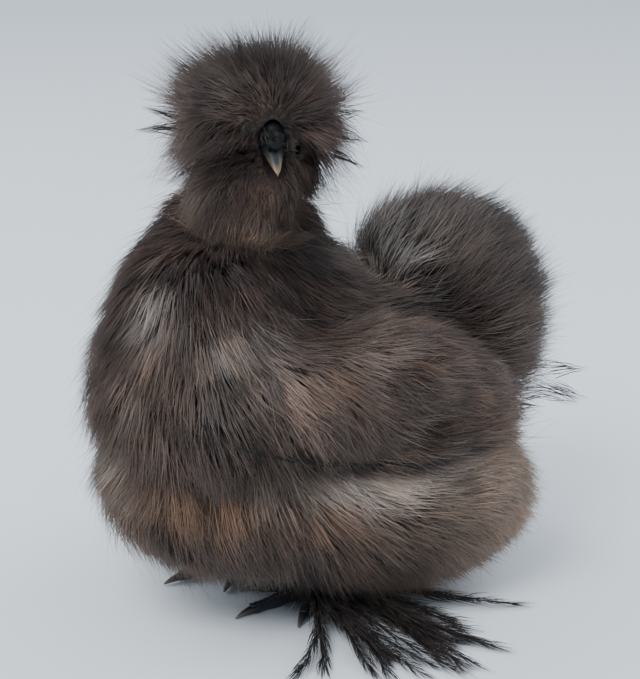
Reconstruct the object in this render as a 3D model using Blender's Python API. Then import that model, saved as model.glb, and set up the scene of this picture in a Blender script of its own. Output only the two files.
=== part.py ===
"""A bearded silkie hen, standing with her head turned to her left, at life size.

Sizes are millimetres as (forward, left, up) from the floor under her body, and place() turns them into
metres with her breast towards -Y and her left side towards +X.
Each sub-part is one closed object. A coat is a core with flat tapered locks that rise from it to the
outline of the plumage, and every coat keeps to its own region, cut clear of its neighbours.
"""

import math
import random

import bmesh
import bpy
from mathutils import Matrix, Vector

MM = 0.001
GAP = 0.3  # air between sub-parts that touch
MARGIN = 2.0  # room that a region leaves round the outline of its coat
BLEND = 24  # how sharply the swellings of one outline meet
SEED = 7

# head: turned to her left and a little down
SKULL_CENTRE = (24.0, 5.5, 258.0)
SKULL_REACH = (23.0, 14.5, 16.0)
HEAD_YAW = 65.0
HEAD_PITCH = 12.0
MUZZLE_PLACE = (-8.0, 0.0, -1.0)  # from the base of the bill
MUZZLE_REACH = (15.0, 8.5, 8.5)
EYE_RADIUS = 4.6
EYE_PLACE = (9.5, 10.6, 2.5)
LID_OUT = 2.0  # how far the lids lie outside the middle of the eye
LID_RADIUS = 4.9
LID_THICKNESS = 1.1
LID_LEAN = 0.28
EAR_PLACE = (-5.0, 13.6, -2.0)
EAR_RADIUS = 2.9
EAR_THICKNESS = 1.0
EAR_LEAN = -0.1
EAR_CUP = (2.2, 2.6, 2.2)
LOBE_PLACE = (-3.0, 13.0, -8.6)
LOBE_REACH = (3.4, 2.2, 4.4)
EYE_ROOM = ((9.5, 12.6, 2.5), (8.8, 5.6, 8.8))  # what the coats leave free round an eye
EAR_ROOM = ((-4.0, 13.4, -5.0), (6.6, 4.2, 10.0))
COMB_ROOM = (8.4, 7.4, 6.4)
MOUTH_LENGTH = 10.0
MOUTH_WIDTH = 30.0
MOUTH_HEIGHT = 0.7
BILL_BASE = (20.0, 0.0, 3.0)
BILL_PITCH = 22.0
BILL_LENGTH = 19.0
BILL_WIDTH = 5.8
BILL_DEPTH = 4.4
BILL_STATIONS = (0.0, 0.3, 0.6, 0.84)  # where the bill has its rings, as shares of its length
CUTTING_EDGE = -1.2
HOOK = -2.6  # how far the cutting edge bends down to the tip
UPPER_TIP = -4.9
LOWER_TIP = -3.9
LOWER_LENGTH = 0.86  # the lower half of the bill, as shares of the upper
LOWER_DEPTH = 0.62
NOSTRIL_PLACE = (6.2, 4.3, 1.5)
NOSTRIL_REACH = (1.9, 1.1, 0.8)
COMB_PLACE = (19.0, 0.0, 11.5)
COMB_LUMPS = (  # forward, left and up from its place, and radius
    (0.0, 0.0, 0.0, 4.6),
    (3.6, 2.4, -1.4, 3.2),
    (3.6, -2.4, -1.4, 3.2),
    (-2.6, 3.0, 0.2, 3.2),
    (-2.6, -3.0, 0.2, 3.2),
)

# feet: a short shank, four toes on the floor and a fifth that points up
FOOT_PLACES = {"left": (0.0, 20.0), "right": (8.0, -36.0)}
SHANK_TOP = (-14.0, 4.0, 48.0)
SHANK_RADIUS = 6.0
TOE_RADIUS = 4.0
SOLE_CUT = 0.4  # how far a toe is flattened where it rests
TOE_DROP = 0.5  # how far the end of a toe lies lower than the rest of it
TOES = {  # degrees outward from straight ahead, and length
    "inner": (-36.0, 33.0),
    "middle": (2.0, 46.0),
    "outer": (40.0, 36.0),
    "back": (172.0, 19.0),
}
FIFTH_TOE = (-160.0, 16.0)
FIFTH_TOE_HEIGHT = 14.0
CLAW_LENGTH = 12.0
CLAW_RADIUS = 2.3
CLAW_DROP = 2.9
CLAW_SLOPE = 0.05
FIFTH_CLAW_SLOPE = 0.6
CLAW_STEPS = (0.0, 0.4, 0.75, 1.0)
SHANK_ROOM = ((-18.0, -8.0, 12.0), (19.0, 11.0, 13.0))  # free space round the raised toe
WELL_HEIGHTS = (-5, 12, 30)
WELL_RADII = (34, 31, 14)

# foot feathers: long narrow vanes that fan out from the outer toe round to the heel
FOOT_FEATHERS = 12
FEATHER_LENGTHS = {"left": 115.0, "right": 84.0}
FEATHER_WIDTHS = (6.5, 9.0)
FEATHER_THICKNESS = 1.6
FEATHER_SHAPE = ((0.0, 0.6), (0.25, 1.0), (0.55, 0.9), (0.8, 0.55))  # share of length, share of width
FEATHER_ROW = 26.0  # how far along the outer toe the row of feathers starts
FEATHER_FIRST = 60.0  # degrees outward of the first feather
FEATHER_FAN = 66.0
FEATHER_SWAY = 14.0
FEATHER_LEVEL = 1.2
FEATHER_RISE = 5.6  # how much higher a feather starts than it ends

COAT_BROWN = (0.060, 0.047, 0.041)
COAT_GREY = (0.085, 0.072, 0.064)
FACE_BLACK = (0.012, 0.012, 0.016)
BILL_SLATE = (0.060, 0.062, 0.070)
CLAW_HORN = (0.035, 0.031, 0.030)
EYE_BLACK = (0.006, 0.005, 0.005)


def turned(forward, left, up):
    return Vector((left, -forward, up))


def place(forward, left, up):
    return turned(forward, left, up) * MM


class Frame:
    """A turned set of axes, forward, left and up, from a place on the bird."""

    def __init__(self, origin, yaw=0.0, pitch=0.0):
        turn = Matrix.Rotation(math.radians(yaw), 3, "Z")
        self.left = turn @ turned(0, 1, 0)
        nod = Matrix.Rotation(math.radians(pitch), 3, self.left)
        self.forward = nod @ turn @ turned(1, 0, 0)
        self.up = nod @ turned(0, 0, 1)
        self.origin = origin

    def along(self, forward, left, up):
        return self.forward * forward + self.left * left + self.up * up

    def point(self, forward, left, up):
        return self.origin + self.along(forward, left, up) * MM


HEAD = Frame(place(*SKULL_CENTRE), HEAD_YAW, HEAD_PITCH)
BILL = Frame(HEAD.point(*BILL_BASE), HEAD_YAW, BILL_PITCH)


class Blob:
    """An ellipsoid given by its centre and its reach forward, left and up."""

    def __init__(self, centre, reach, yaw=0.0, pitch=0.0):
        self.frame = Frame(place(*centre), yaw, pitch)
        self.reach = [r * MM for r in reach]

    def local(self, vector, grow=0.0):
        axes = (self.frame.forward, self.frame.left, self.frame.up)
        return Vector([vector.dot(axis) / (r + grow * MM) for axis, r in zip(axes, self.reach)])

    def exit(self, start, direction):
        """How far a ray from start runs before it leaves the blob, or 0 where it misses."""
        near = self.local(start - self.frame.origin)
        slope = self.local(direction)
        a = slope.dot(slope)
        b = near.dot(slope)
        square = b * b - a * (near.dot(near) - 1)
        return 0.0 if square < 0 else max(0.0, (-b + math.sqrt(square)) / a)

    def holds(self, point, grow=0.0):
        return self.local(point - self.frame.origin, grow).length < 1

    def solid(self, grow=0.0, segments=14, rings=8):
        mesh = bmesh.new()
        # turned by an odd angle, so that no edge of it runs along an edge of what it cuts
        turn = Matrix.Rotation(100 * self.reach[0] + self.reach[2], 4, Vector((0.1, 0.05, 1)))
        bmesh.ops.create_uvsphere(mesh, u_segments=segments, v_segments=rings, radius=1, matrix=turn)
        for v in mesh.verts:
            steps = [x * (r + grow * MM) for x, r in zip(v.co, self.reach)]
            v.co = self.frame.origin + self.frame.along(*steps)
        return finish("blob", mesh)


class Coat:
    """The outline of one coat, its blobs seen from a centre, and how deep it lies over its core."""

    def __init__(self, centre, blobs, depth, under):
        self.centre = place(*centre)
        self.blobs = blobs
        self.depth = depth * MM
        self.under = under  # share of the depth that is missing on the underside

    def point(self, direction, level):
        """A point on the core at level 0 and on the outline at level 1."""
        reach = sum(blob.exit(self.centre, direction) ** BLEND for blob in self.blobs) ** (1 / BLEND)
        depth = self.depth * (1 - self.under * max(0.0, -direction.z))
        return self.centre + direction * (reach - depth * (1 - level))

    def cover(self, point):
        """How far a point lies inside the outline, and below 0 how far outside."""
        out = point - self.centre
        return (self.point(out.normalized(), 1) - self.centre).length - out.length

    def normal(self, direction):
        side = direction.orthogonal().normalized() * 0.08
        other = direction.cross(side)
        ends = [self.point((direction + step).normalized(), 1) for step in (side, -side, other, -other)]
        normal = (ends[0] - ends[1]).cross(ends[2] - ends[3]).normalized()
        return normal if normal.dot(direction) > 0 else -normal


class Region:
    """The space that one coat keeps to: blobs, cut flat by planes and given way to other blobs."""

    def __init__(self, blobs, planes=(), beside=()):
        self.blobs = blobs
        self.planes = planes  # pairs of a point and the direction that points out of the region
        self.beside = beside

    def holds(self, point, grow=0.0):
        inside = any(blob.holds(point, MARGIN + grow) for blob in self.blobs)
        clear = not any(blob.holds(point, -grow) for blob in self.beside)
        return inside and clear and all((point - at).dot(out) < grow * MM for at, out in self.planes)

    def solid(self, grow=0.0):
        parts = [blob.solid(MARGIN + grow) for blob in self.blobs]
        whole = parts[0]
        if parts[1:]:
            boolean(whole, "UNION", parts[1:])
        for at, out in self.planes:
            boolean(whole, "DIFFERENCE", [half_space(at + out * grow * MM, out)])
        if self.beside:
            boolean(whole, "DIFFERENCE", [blob.solid(-grow) for blob in self.beside])
        return whole


def material(name, colour, roughness=0.8):
    made = bpy.data.materials.new(name)
    made.use_nodes = True
    shader = made.node_tree.nodes["Principled BSDF"]
    shader.inputs["Base Color"].default_value = (*colour, 1)
    shader.inputs["Roughness"].default_value = roughness
    return made


def finish(name, mesh):
    """Turns a bmesh into an object whose faces point out."""
    bmesh.ops.recalc_face_normals(mesh, faces=mesh.faces)
    if mesh.calc_volume(signed=True) < 0:
        bmesh.ops.reverse_faces(mesh, faces=mesh.faces)
    data = bpy.data.meshes.new(name)
    mesh.to_mesh(data)
    mesh.free()
    made = bpy.data.objects.new(name, data)
    bpy.context.scene.collection.objects.link(made)
    return made


def half_space(at, out):
    """A large block on the outer side of a plane."""
    size = 0.8
    turn = out.to_track_quat("Z", "Y").to_matrix().to_4x4()
    mesh = bmesh.new()
    bmesh.ops.create_cube(mesh, size=size, matrix=Matrix.Translation(at + out * size / 2) @ turn)
    return finish("half_space", mesh)


def ball(frame, centre, reach, segments=10, rings=6):
    """An ellipsoid in a frame, in millimetres."""
    mesh = bmesh.new()
    bmesh.ops.create_uvsphere(mesh, u_segments=segments, v_segments=rings, radius=1)
    for v in mesh.verts:
        v.co = frame.point(*[c + r * x for c, r, x in zip(centre, reach, v.co)])
    return finish("ball", mesh)


def ring(frame, centre, radius, thickness, lean=0.0, segments=12, sides=5):
    """A round rim in a frame that faces to its left, or to its right where the centre is there."""
    side = math.copysign(1.0, centre[1])
    rings = []
    for i in range(segments):
        turn = math.tau * i / segments
        section = []
        for j in range(sides):
            roll = math.tau * j / sides
            far = radius + thickness * math.cos(roll)
            out = side * (thickness * math.sin(roll) - lean * math.cos(turn) * far)
            forward = centre[0] + far * math.cos(turn)
            section.append(frame.point(forward, centre[1] + out, centre[2] + far * math.sin(turn)))
        rings.append(section)
    return skin(rings, closed=True)


def skin(rings, tip=None, closed=False):
    """Joins rings of equal counts into one closed surface, to a point or round to the first ring."""
    mesh = bmesh.new()
    made = [[mesh.verts.new(p) for p in ring_points] for ring_points in rings]
    count = len(rings[0])
    pairs = list(zip(made, made[1:]))
    if closed:
        pairs.append((made[-1], made[0]))
    for low, high in pairs:
        for i in range(count):
            j = (i + 1) % count
            mesh.faces.new((low[i], low[j], high[j]))
            mesh.faces.new((low[i], high[j], high[i]))
    if not closed:
        mesh.faces.new(made[0][::-1])
        if tip is None:
            mesh.faces.new(made[-1])
        else:
            end = mesh.verts.new(tip)
            for i in range(count):
                mesh.faces.new((made[-1][i], made[-1][(i + 1) % count], end))
    return finish("skin", mesh)


def boolean(target, operation, others):
    """Joins the others to the target, cuts them from it, or keeps what it shares with them."""
    if operation != "UNION" and len(others) > 1:
        boolean(others[0], "UNION", others[1:])
        others = others[:1]
    helpers = bpy.data.collections.new("helpers")
    bpy.context.scene.collection.children.link(helpers)
    for other in others:
        bpy.context.scene.collection.objects.unlink(other)
        helpers.objects.link(other)
    change = target.modifiers.new("change", "BOOLEAN")
    change.operation = operation
    change.solver = "MANIFOLD"
    change.operand_type = "COLLECTION"
    change.collection = helpers
    graph = bpy.context.evaluated_depsgraph_get()
    result = bpy.data.meshes.new_from_object(target.evaluated_get(graph))
    target.modifiers.remove(change)
    target.data = result
    for other in others:
        bpy.data.objects.remove(other)
    bpy.data.collections.remove(helpers)


def keep_largest(target):
    """Keeps only the largest closed surface of an object."""
    mesh = bmesh.new()
    mesh.from_mesh(target.data)
    unseen = set(mesh.faces)
    islands = []
    while unseen:
        front = [unseen.pop()]
        island = set(front)
        while front:
            for edge in front.pop().edges:
                near = [face for face in edge.link_faces if face in unseen]
                unseen.difference_update(near)
                island.update(near)
                front.extend(near)
        islands.append(island)
    largest = max(islands, key=lambda island: sum(face.calc_area() for face in island))
    bmesh.ops.delete(mesh, geom=[face for face in mesh.faces if face not in largest], context="FACES")
    mesh.to_mesh(target.data)
    mesh.free()


def complete(target, name, paint):
    """Names a finished sub-part and gives it its material."""
    keep_largest(target)
    target.name = name
    target.data.name = name
    target.data.materials.clear()
    target.data.materials.append(paint)
    return target


# Outlines of the plumage, as swellings that meet
SKULL = Blob(SKULL_CENTRE, SKULL_REACH, HEAD_YAW, HEAD_PITCH)
COLLAR = Blob((25, 4, 236), (24, 22, 18))
BLOBS = {
    "crest": [Blob((25, 4, 274), (46, 50, 34), 58)],
    "beard": [Blob((38, 14, 229), (33, 36, 34), 58), Blob((35, 4, 243), (28, 36, 20), 58)],
    "neck": [Blob((43, 0, 178), (62, 60, 50)), Blob((34, -7, 211), (45, 45, 44))],
    "tail": [
        Blob((-106, 0, 144), (63, 66, 72)),
        Blob((-76, 0, 164), (42, 52, 50)),
        Blob((-116, 0, 120), (46, 56, 38)),
    ],
    "wing_left": [Blob((-4, 62, 127), (92, 32, 40), 0, -14)],
    "wing_right": [Blob((-4, -62, 127), (92, 32, 40), 0, -14)],
    "thigh_left": [Blob((-34, 50, 56), (82, 44, 48), -8)],
    "thigh_right": [Blob((-34, -50, 56), (82, 44, 48), 8)],
    "torso": [
        Blob((30, 0, 124), (94, 84, 88)),
        Blob((4, 0, 72), (116, 88, 57)),
        Blob((-70, 0, 68), (76, 68, 52)),
        Blob((-30, 0, 120), (80, 74, 62)),
    ],
}
# centre of each coat, its depth over the core, and the share of it that is missing underneath
DEPTHS = {
    "crest": ((25, 4, 276), 17, 0.8),
    "beard": ((36, 12, 232), 13, 0),
    "neck": ((40, 0, 195), 15, 0),
    "tail": ((-92, 0, 138), 26, 0),
    "wing_left": ((-4, 68, 127), 9, 0),
    "wing_right": ((-4, -68, 127), 9, 0),
    "thigh_left": ((-34, 50, 58), 14, 0.3),
    "thigh_right": ((-34, -50, 58), 14, 0.3),
    "torso": ((-15, 0, 95), 18, 0.4),
}
COATS = {}
for part_name, (part_centre, part_depth, part_under) in DEPTHS.items():
    COATS[part_name] = Coat(part_centre, BLOBS[part_name], part_depth, part_under)
FACE_SLOT = Blob((0, 0, 0), (25, 7.5, 14))
FACE_SLOT.frame = Frame(BILL.point(8, 0, 2), HEAD_YAW, BILL_PITCH)

BEARD_ROOT = (2.0, 0.0, -30.0)  # how far back beard and muffs reach under the head
CAPE_EDGE = 150.0  # where the neck ends over the breast
WING_ROOT = 56.0  # how far from the middle the wing lies against the body
THIGH_ROOT = 6.0
TAIL_ROOT = (-55.0, 0.0, 150.0)
TAIL_LEAN = (0.94, 0.0, -0.34)


def side_of(name):
    return 1.0 if name.endswith("left") else -1.0


def planes_of(name):
    if name == "neck":
        return [(place(0, 0, CAPE_EDGE), turned(0, 0, -1))]
    if name == "beard":
        return [(HEAD.point(*BEARD_ROOT), -HEAD.forward)]
    if name == "tail":
        return [(place(*TAIL_ROOT), turned(*TAIL_LEAN))]
    if name.startswith("wing"):
        return [(place(0, side_of(name) * WING_ROOT, 0), turned(0, -side_of(name), 0))]
    if name.startswith("thigh"):
        return [(place(0, side_of(name) * THIGH_ROOT, 0), turned(0, -side_of(name), 0))]
    return []


REGIONS = {}
for part_name, part_blobs in BLOBS.items():
    blobs = part_blobs + ([COLLAR] if part_name == "neck" else [])
    REGIONS[part_name] = Region(blobs, planes_of(part_name), [COLLAR] if part_name == "crest" else [])

# which regions each coat gives way to
BEFORE = {
    "crest": (),
    "beard": ("crest",),
    "neck": ("crest", "beard"),
    "wing_left": ("neck",),
    "wing_right": ("neck",),
    "tail": ("neck", "wing_left", "wing_right"),
    "thigh_left": ("wing_left", "tail"),
    "thigh_right": ("wing_right", "tail"),
    "torso": ("neck", "wing_left", "wing_right", "tail", "thigh_left", "thigh_right"),
}


def lie_of(name, point):
    """Which way the plumage flows at a point."""
    if name == "crest":
        return point - HEAD.point(20, 0, 2)
    if name == "beard":
        return (point - BILL.point(6, 0, 4)).normalized() + turned(0.0, 0.0, -0.8)
    if name == "tail":
        return (point - place(-58, 0, 118)).normalized() + turned(-0.25, 0.0, 0.0)
    if name == "neck":
        return turned(-0.25, 0.0, -1.0) + (point - place(40, 0, 200)).normalized() * 0.5
    if name.startswith("wing"):
        return turned(-1.0, 0.0, -0.28)
    if name.startswith("thigh"):
        return turned(-0.5, 0.0, -0.8)
    forward = -point.y / MM
    down = min(1.0, max(0.15, (forward + 70) / 110))
    return turned(-1.0 + 0.75 * down, 0.0, -down)


# name, segments and rings of the core, then the spacing, length and width of the locks
COAT_LOCKS = {
    "crest": (11, 7, 29.0, 33.0, 28.0),
    "beard": (10, 7, 21.0, 26.0, 20.0),
    "neck": (12, 8, 30.0, 42.0, 29.0),
    "tail": (12, 7, 44.0, 56.0, 41.0),
    "wing_left": (10, 7, 31.0, 46.0, 29.0),
    "wing_right": (10, 7, 31.0, 46.0, 29.0),
    "thigh_left": (10, 7, 41.0, 44.0, 37.0),
    "thigh_right": (10, 7, 41.0, 44.0, 37.0),
    "torso": (16, 10, 39.0, 51.0, 40.0),
}
ROOT_TRIES = 1500
LOCK_ROOT_LEVEL = -0.12
LOCK_STEPS = (0.0, 0.5)
LOCK_WIDTHS = (0.5, 1.0)
LOCK_THICKNESS = 0.12
SHOWING_SHARE = 0.7  # a lock grows where this share of its length lies in the open


def lock_path(coat, name, start, length, sway):
    """Where a lock runs, as a function of the share of its length."""
    normal = coat.normal(start)
    lie = lie_of(name, coat.point(start, 0))
    lie = (lie - normal * lie.dot(normal)).normalized()
    lie = Matrix.Rotation(sway, 3, normal) @ lie
    reach = (coat.point(start, 0) - coat.centre).length

    def step(s):
        direction = (start + lie * (length * MM * s / reach)).normalized()
        level = LOCK_ROOT_LEVEL + (1 - LOCK_ROOT_LEVEL) * s**0.8
        return direction, coat.point(direction, level)

    return step


def grows(coat, name, start, length):
    """Whether the outer half of a lock lies where its own coat shows."""
    point = lock_path(coat, name, start, length, 0)(SHOWING_SHARE)[1]
    return REGIONS[name].holds(point) and not any(REGIONS[other].holds(point) for other in BEFORE[name])


def lock(coat, name, start, length, width, sway):
    """A flat tapered lock that rises from the core, bends over and ends in a point on the outline."""
    step = lock_path(coat, name, start, length, sway)

    rings = []
    for s, share in zip(LOCK_STEPS, LOCK_WIDTHS):
        direction, middle = step(s)
        ahead = step(s + 0.2)[1] - middle
        up = coat.normal(direction)
        across = ahead.cross(up).normalized() * width * share * MM / 2
        up = across.cross(ahead).normalized() * width * LOCK_THICKNESS * MM
        rings.append([middle - across, middle + up, middle + across])
    return skin(rings, step(1.0)[1])


def core(name, segments, rings):
    """The inner half of a coat, swelling to its outline where its neighbours cover it."""
    coat = COATS[name]
    mesh = bmesh.new()
    bmesh.ops.create_uvsphere(mesh, u_segments=segments, v_segments=rings, radius=1)
    for v in mesh.verts:
        direction = v.co.normalized()
        outer = coat.point(direction, 1)
        cover = max(other.cover(outer) for key, other in COATS.items() if key != name)
        v.co = coat.point(direction, min(1.0, max(0.0, cover / coat.depth)))
    return finish("core", mesh)


def roots(coat, spacing):
    """Directions from the centre of a coat whose places on its outline lie at least a spacing apart."""
    chosen = []
    for i in range(ROOT_TRIES):
        height = 1 - 2 * (i + 0.5) / ROOT_TRIES
        flat = math.sqrt(1 - height * height)
        turn = i * math.pi * (3 - math.sqrt(5))
        direction = Vector((flat * math.cos(turn), flat * math.sin(turn), height))
        place_on_it = coat.point(direction, 1)
        if all((place_on_it - other).length > spacing * MM for _, other in chosen):
            chosen.append((direction, place_on_it))
    return [direction for direction, _ in chosen]


def coat_body(name, paint, clear_of=()):
    """A core with its locks, kept to its region and cut clear of the regions that come before it."""
    coat = COATS[name]
    segments, rings, spacing, length, width = COAT_LOCKS[name]
    draw = random.Random(SEED + len(name))
    body = core(name, segments, rings)
    locks = []
    for start in roots(coat, spacing):
        sway = draw.uniform(-0.22, 0.22)
        size = draw.uniform(0.88, 1.12)
        if grows(coat, name, start, length * size):
            locks.append(lock(coat, name, start, length * size, width * size, sway))
    boolean(body, "UNION", locks)
    if BEFORE[name]:
        boolean(body, "DIFFERENCE", [REGIONS[other].solid(GAP) for other in BEFORE[name]])
    if name != "torso":
        boolean(body, "INTERSECT", [REGIONS[name].solid()])
    if clear_of:
        boolean(body, "DIFFERENCE", clear_of)
    return complete(body, name, paint)


def head_solid(grow=0.0):
    whole = SKULL.solid(grow, 14, 9)
    muzzle = ball(BILL, MUZZLE_PLACE, [reach + grow for reach in MUZZLE_REACH], 12, 7)
    boolean(whole, "UNION", [muzzle])
    return whole


def beside(centre, side, out=0.0):
    """A place on the left of the head, or its mirror image, some way further out."""
    return (centre[0], side * (centre[1] + out), centre[2])


def head_clearance():
    """What the crest, the beard and the neck leave free: the skull, the eyes, the ears and the face."""
    parts = [head_solid(GAP), FACE_SLOT.solid(), ball(HEAD, COMB_PLACE, COMB_ROOM)]
    for side in (1, -1):
        for centre, reach in (EYE_ROOM, EAR_ROOM):
            parts.append(ball(HEAD, beside(centre, side), reach, 8, 5))
    return parts


def make_head():
    whole = head_solid()
    rims = []
    for side in (1, -1):
        lid = beside(EYE_PLACE, side, LID_OUT)
        rims.append(ring(HEAD, lid, LID_RADIUS, LID_THICKNESS, LID_LEAN, 10, 4))
        rims.append(ring(HEAD, beside(EAR_PLACE, side), EAR_RADIUS, EAR_THICKNESS, EAR_LEAN, 8, 4))
        rims.append(ball(HEAD, beside(LOBE_PLACE, side), LOBE_REACH, 10, 5))
    boolean(whole, "UNION", rims)
    hollows = [half_space(BILL.point(0, 0, 0), BILL.forward)]
    for side in (1, -1):
        grown = EYE_RADIUS + GAP
        hollows.append(ball(HEAD, beside(EYE_PLACE, side), (grown, grown, grown), 12, 7))
        hollows.append(ball(HEAD, beside(EAR_PLACE, side, 0.8), EAR_CUP, 8, 5))
    mesh = bmesh.new()
    bmesh.ops.create_cube(mesh, size=1)
    for v in mesh.verts:
        x, y, z = v.co
        v.co = BILL.point(2 * x * MOUTH_LENGTH, y * MOUTH_WIDTH, z * MOUTH_HEIGHT + CUTTING_EDGE)
    hollows.append(finish("mouth", mesh))
    boolean(whole, "DIFFERENCE", hollows)
    return complete(whole, "head", material("bare skin", FACE_BLACK, 0.6))


def bill_half(upper, grow=0.0):
    """Half of the bill as rings with a flat cutting edge, running to a point that bends down."""
    sides = 7
    rings = []
    share = 1.0 if upper else LOWER_LENGTH
    length = BILL_LENGTH * share
    for t in BILL_STATIONS:
        wide = BILL_WIDTH * share * (1 - t) ** 0.62 + grow
        tall = BILL_DEPTH * (1.0 if upper else LOWER_DEPTH) * (1 - t) ** 0.8 + grow
        edge = CUTTING_EDGE + HOOK * t * t
        start = edge + (GAP / 2 - grow if upper else -GAP / 2 + grow)
        section = []
        for j in range(sides):
            turn = math.pi * j / (sides - 1)
            rise = math.sin(turn) * (tall + grow)
            height = start + (rise if upper else -rise)
            section.append(BILL.point(GAP + length * t, wide * math.cos(turn), height))
        rings.append(section)
    end = BILL.point(GAP + length + grow, 0, UPPER_TIP if upper else LOWER_TIP)
    return skin(rings, end)


def make_bill():
    upper = bill_half(True)
    nostrils = [ball(BILL, beside(NOSTRIL_PLACE, side), NOSTRIL_REACH, 8, 5) for side in (1, -1)]
    boolean(upper, "DIFFERENCE", nostrils)
    horn = material("bill", BILL_SLATE, 0.45)
    complete(upper, "bill_upper", horn)
    complete(bill_half(False), "bill_lower", material("bill lower", BILL_SLATE, 0.45))


def make_comb():
    """A small walnut comb: a few rounded lumps between the bill and the crest."""
    solids = []
    for forward, left, up, size in COMB_LUMPS:
        centre = (COMB_PLACE[0] + forward, left, COMB_PLACE[2] + up)
        solids.append(ball(HEAD, centre, (size, size, size), 8, 5))
    boolean(solids[0], "UNION", solids[1:])
    below = half_space(BILL.point(0, 0, 0), -BILL.up)
    boolean(solids[0], "DIFFERENCE", [head_solid(GAP), bill_half(True, GAP), below])
    complete(solids[0], "comb", material("comb", FACE_BLACK, 0.6))


def make_eyes():
    for name, side in (("left", 1), ("right", -1)):
        eye = ball(HEAD, beside(EYE_PLACE, side), (EYE_RADIUS, EYE_RADIUS, EYE_RADIUS), 12, 7)
        complete(eye, "eye_" + name, material("eye " + name, EYE_BLACK, 0.1))


def foot_point(foot, forward, left, up):
    """A place by one foot, with left taken as outward from the body."""
    side = 1.0 if foot == "left" else -1.0
    return place(FOOT_PLACES[foot][0] + forward, FOOT_PLACES[foot][1] + side * left, up)


def tube(points, radii, sides=8, tip=None):
    """A round bar along points, with level rings where it starts and square ends."""
    rings = []
    for i, point in enumerate(points):
        ahead = (points[min(i + 1, len(points) - 1)] - points[max(i - 1, 0)]).normalized()
        across = ahead.cross(Vector((0, 0, 1)))
        across = across.normalized() if across.length > 0.1 else Vector((1, 0, 0))
        up = across.cross(ahead)
        turns = [math.tau * (j + 0.5) / sides for j in range(sides)]
        rings.append([point + (across * math.cos(a) + up * math.sin(a)) * radii[i] * MM for a in turns])
    return skin(rings, tip)


def shank(foot, grow=0.0):
    low = foot_point(foot, 0, 0, 2.0)
    high = foot_point(foot, *SHANK_TOP)
    reach = SHANK_RADIUS + grow
    end = high + (high - low).normalized() * grow * MM
    return tube([low, low.lerp(high, 0.35), end], [reach + 1, reach - 1, reach], 10)


def foot_clearance(foot):
    """What the fluff leaves free round one foot: its shank and the raised toe behind it."""
    (forward, left, up), reach = SHANK_ROOM
    middle = foot_point(foot, forward, left, up) / MM
    return [shank(foot, GAP), Blob((-middle.y, middle.x, middle.z), reach).solid(0, 14, 8)]


def leg_well(foot):
    """What the belly leaves free round one foot."""
    return tube([foot_point(foot, -8, 0, up) for up in WELL_HEIGHTS], WELL_RADII, 14)


def toe(foot, degrees, length):
    turn = math.radians(degrees)

    def at(distance, up):
        return foot_point(foot, distance * math.cos(turn), distance * math.sin(turn), up)

    level = TOE_RADIUS - SOLE_CUT
    points = [at(-2, level + 2), at(length * 0.45, level + 0.6), at(length, level - TOE_DROP)]
    return tube(points, [TOE_RADIUS + 1, TOE_RADIUS, TOE_RADIUS - 0.6])


def claw(foot, degrees, length, start, slope, name):
    """A curved claw that starts a hair's breadth off the end of its toe."""
    turn = math.radians(degrees)
    points = []
    for t in CLAW_STEPS:
        out = length + 1.2 * GAP + CLAW_LENGTH * t
        up = start + CLAW_LENGTH * slope * t - CLAW_DROP * t * t
        points.append(foot_point(foot, out * math.cos(turn), out * math.sin(turn), up))
    radii = [CLAW_RADIUS, CLAW_RADIUS * 0.78, CLAW_RADIUS * 0.45]
    made = tube(points[:3], radii, 6, points[3])
    complete(made, name, material(name, CLAW_HORN, 0.4))


def feather_middle(foot, feather, t):
    """The middle of a foot feather at a share t of its length."""
    root, turn, bend, length, lift = feather
    angle = turn + bend * t
    up = FEATHER_LEVEL + FEATHER_RISE * (1 - t) ** 1.5 + lift
    forward = root[0] + length * t * math.cos(angle)
    return foot_point(foot, forward, root[1] + length * t * math.sin(angle), up)


def foot_feather(foot, share, draw):
    """A long narrow vane that leaves the foot sideways and lies just over the floor."""
    toe_turn = math.radians(TOES["outer"][0])
    out = FEATHER_ROW * max(0.0, 1 - 2.2 * share)
    root = (out * math.cos(toe_turn), out * math.sin(toe_turn) + 3)
    turn = math.radians(FEATHER_FIRST + FEATHER_FAN * share + draw.uniform(-4, 4))
    length = FEATHER_LENGTHS[foot] * draw.uniform(0.9, 1.1)
    length *= 0.55 + 0.45 * math.sin(math.pi * (0.1 + 0.75 * share))  # longest in the middle of the row
    bend = math.radians(draw.uniform(-FEATHER_SWAY, FEATHER_SWAY))
    feather = (root, turn, bend, length, draw.uniform(0.0, 1.2))
    width = draw.uniform(*FEATHER_WIDTHS)
    rings = []
    for t, wide in FEATHER_SHAPE:
        middle = feather_middle(foot, feather, t)
        ahead = feather_middle(foot, feather, t + 0.1) - middle
        across = ahead.cross(Vector((0, 0, 1))).normalized() * width * wide / 2 * MM
        up = across.cross(ahead).normalized() * FEATHER_THICKNESS * MM
        rings.append([middle - across, middle + up, middle + across])
    return skin(rings, feather_middle(foot, feather, 1.0))


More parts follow.
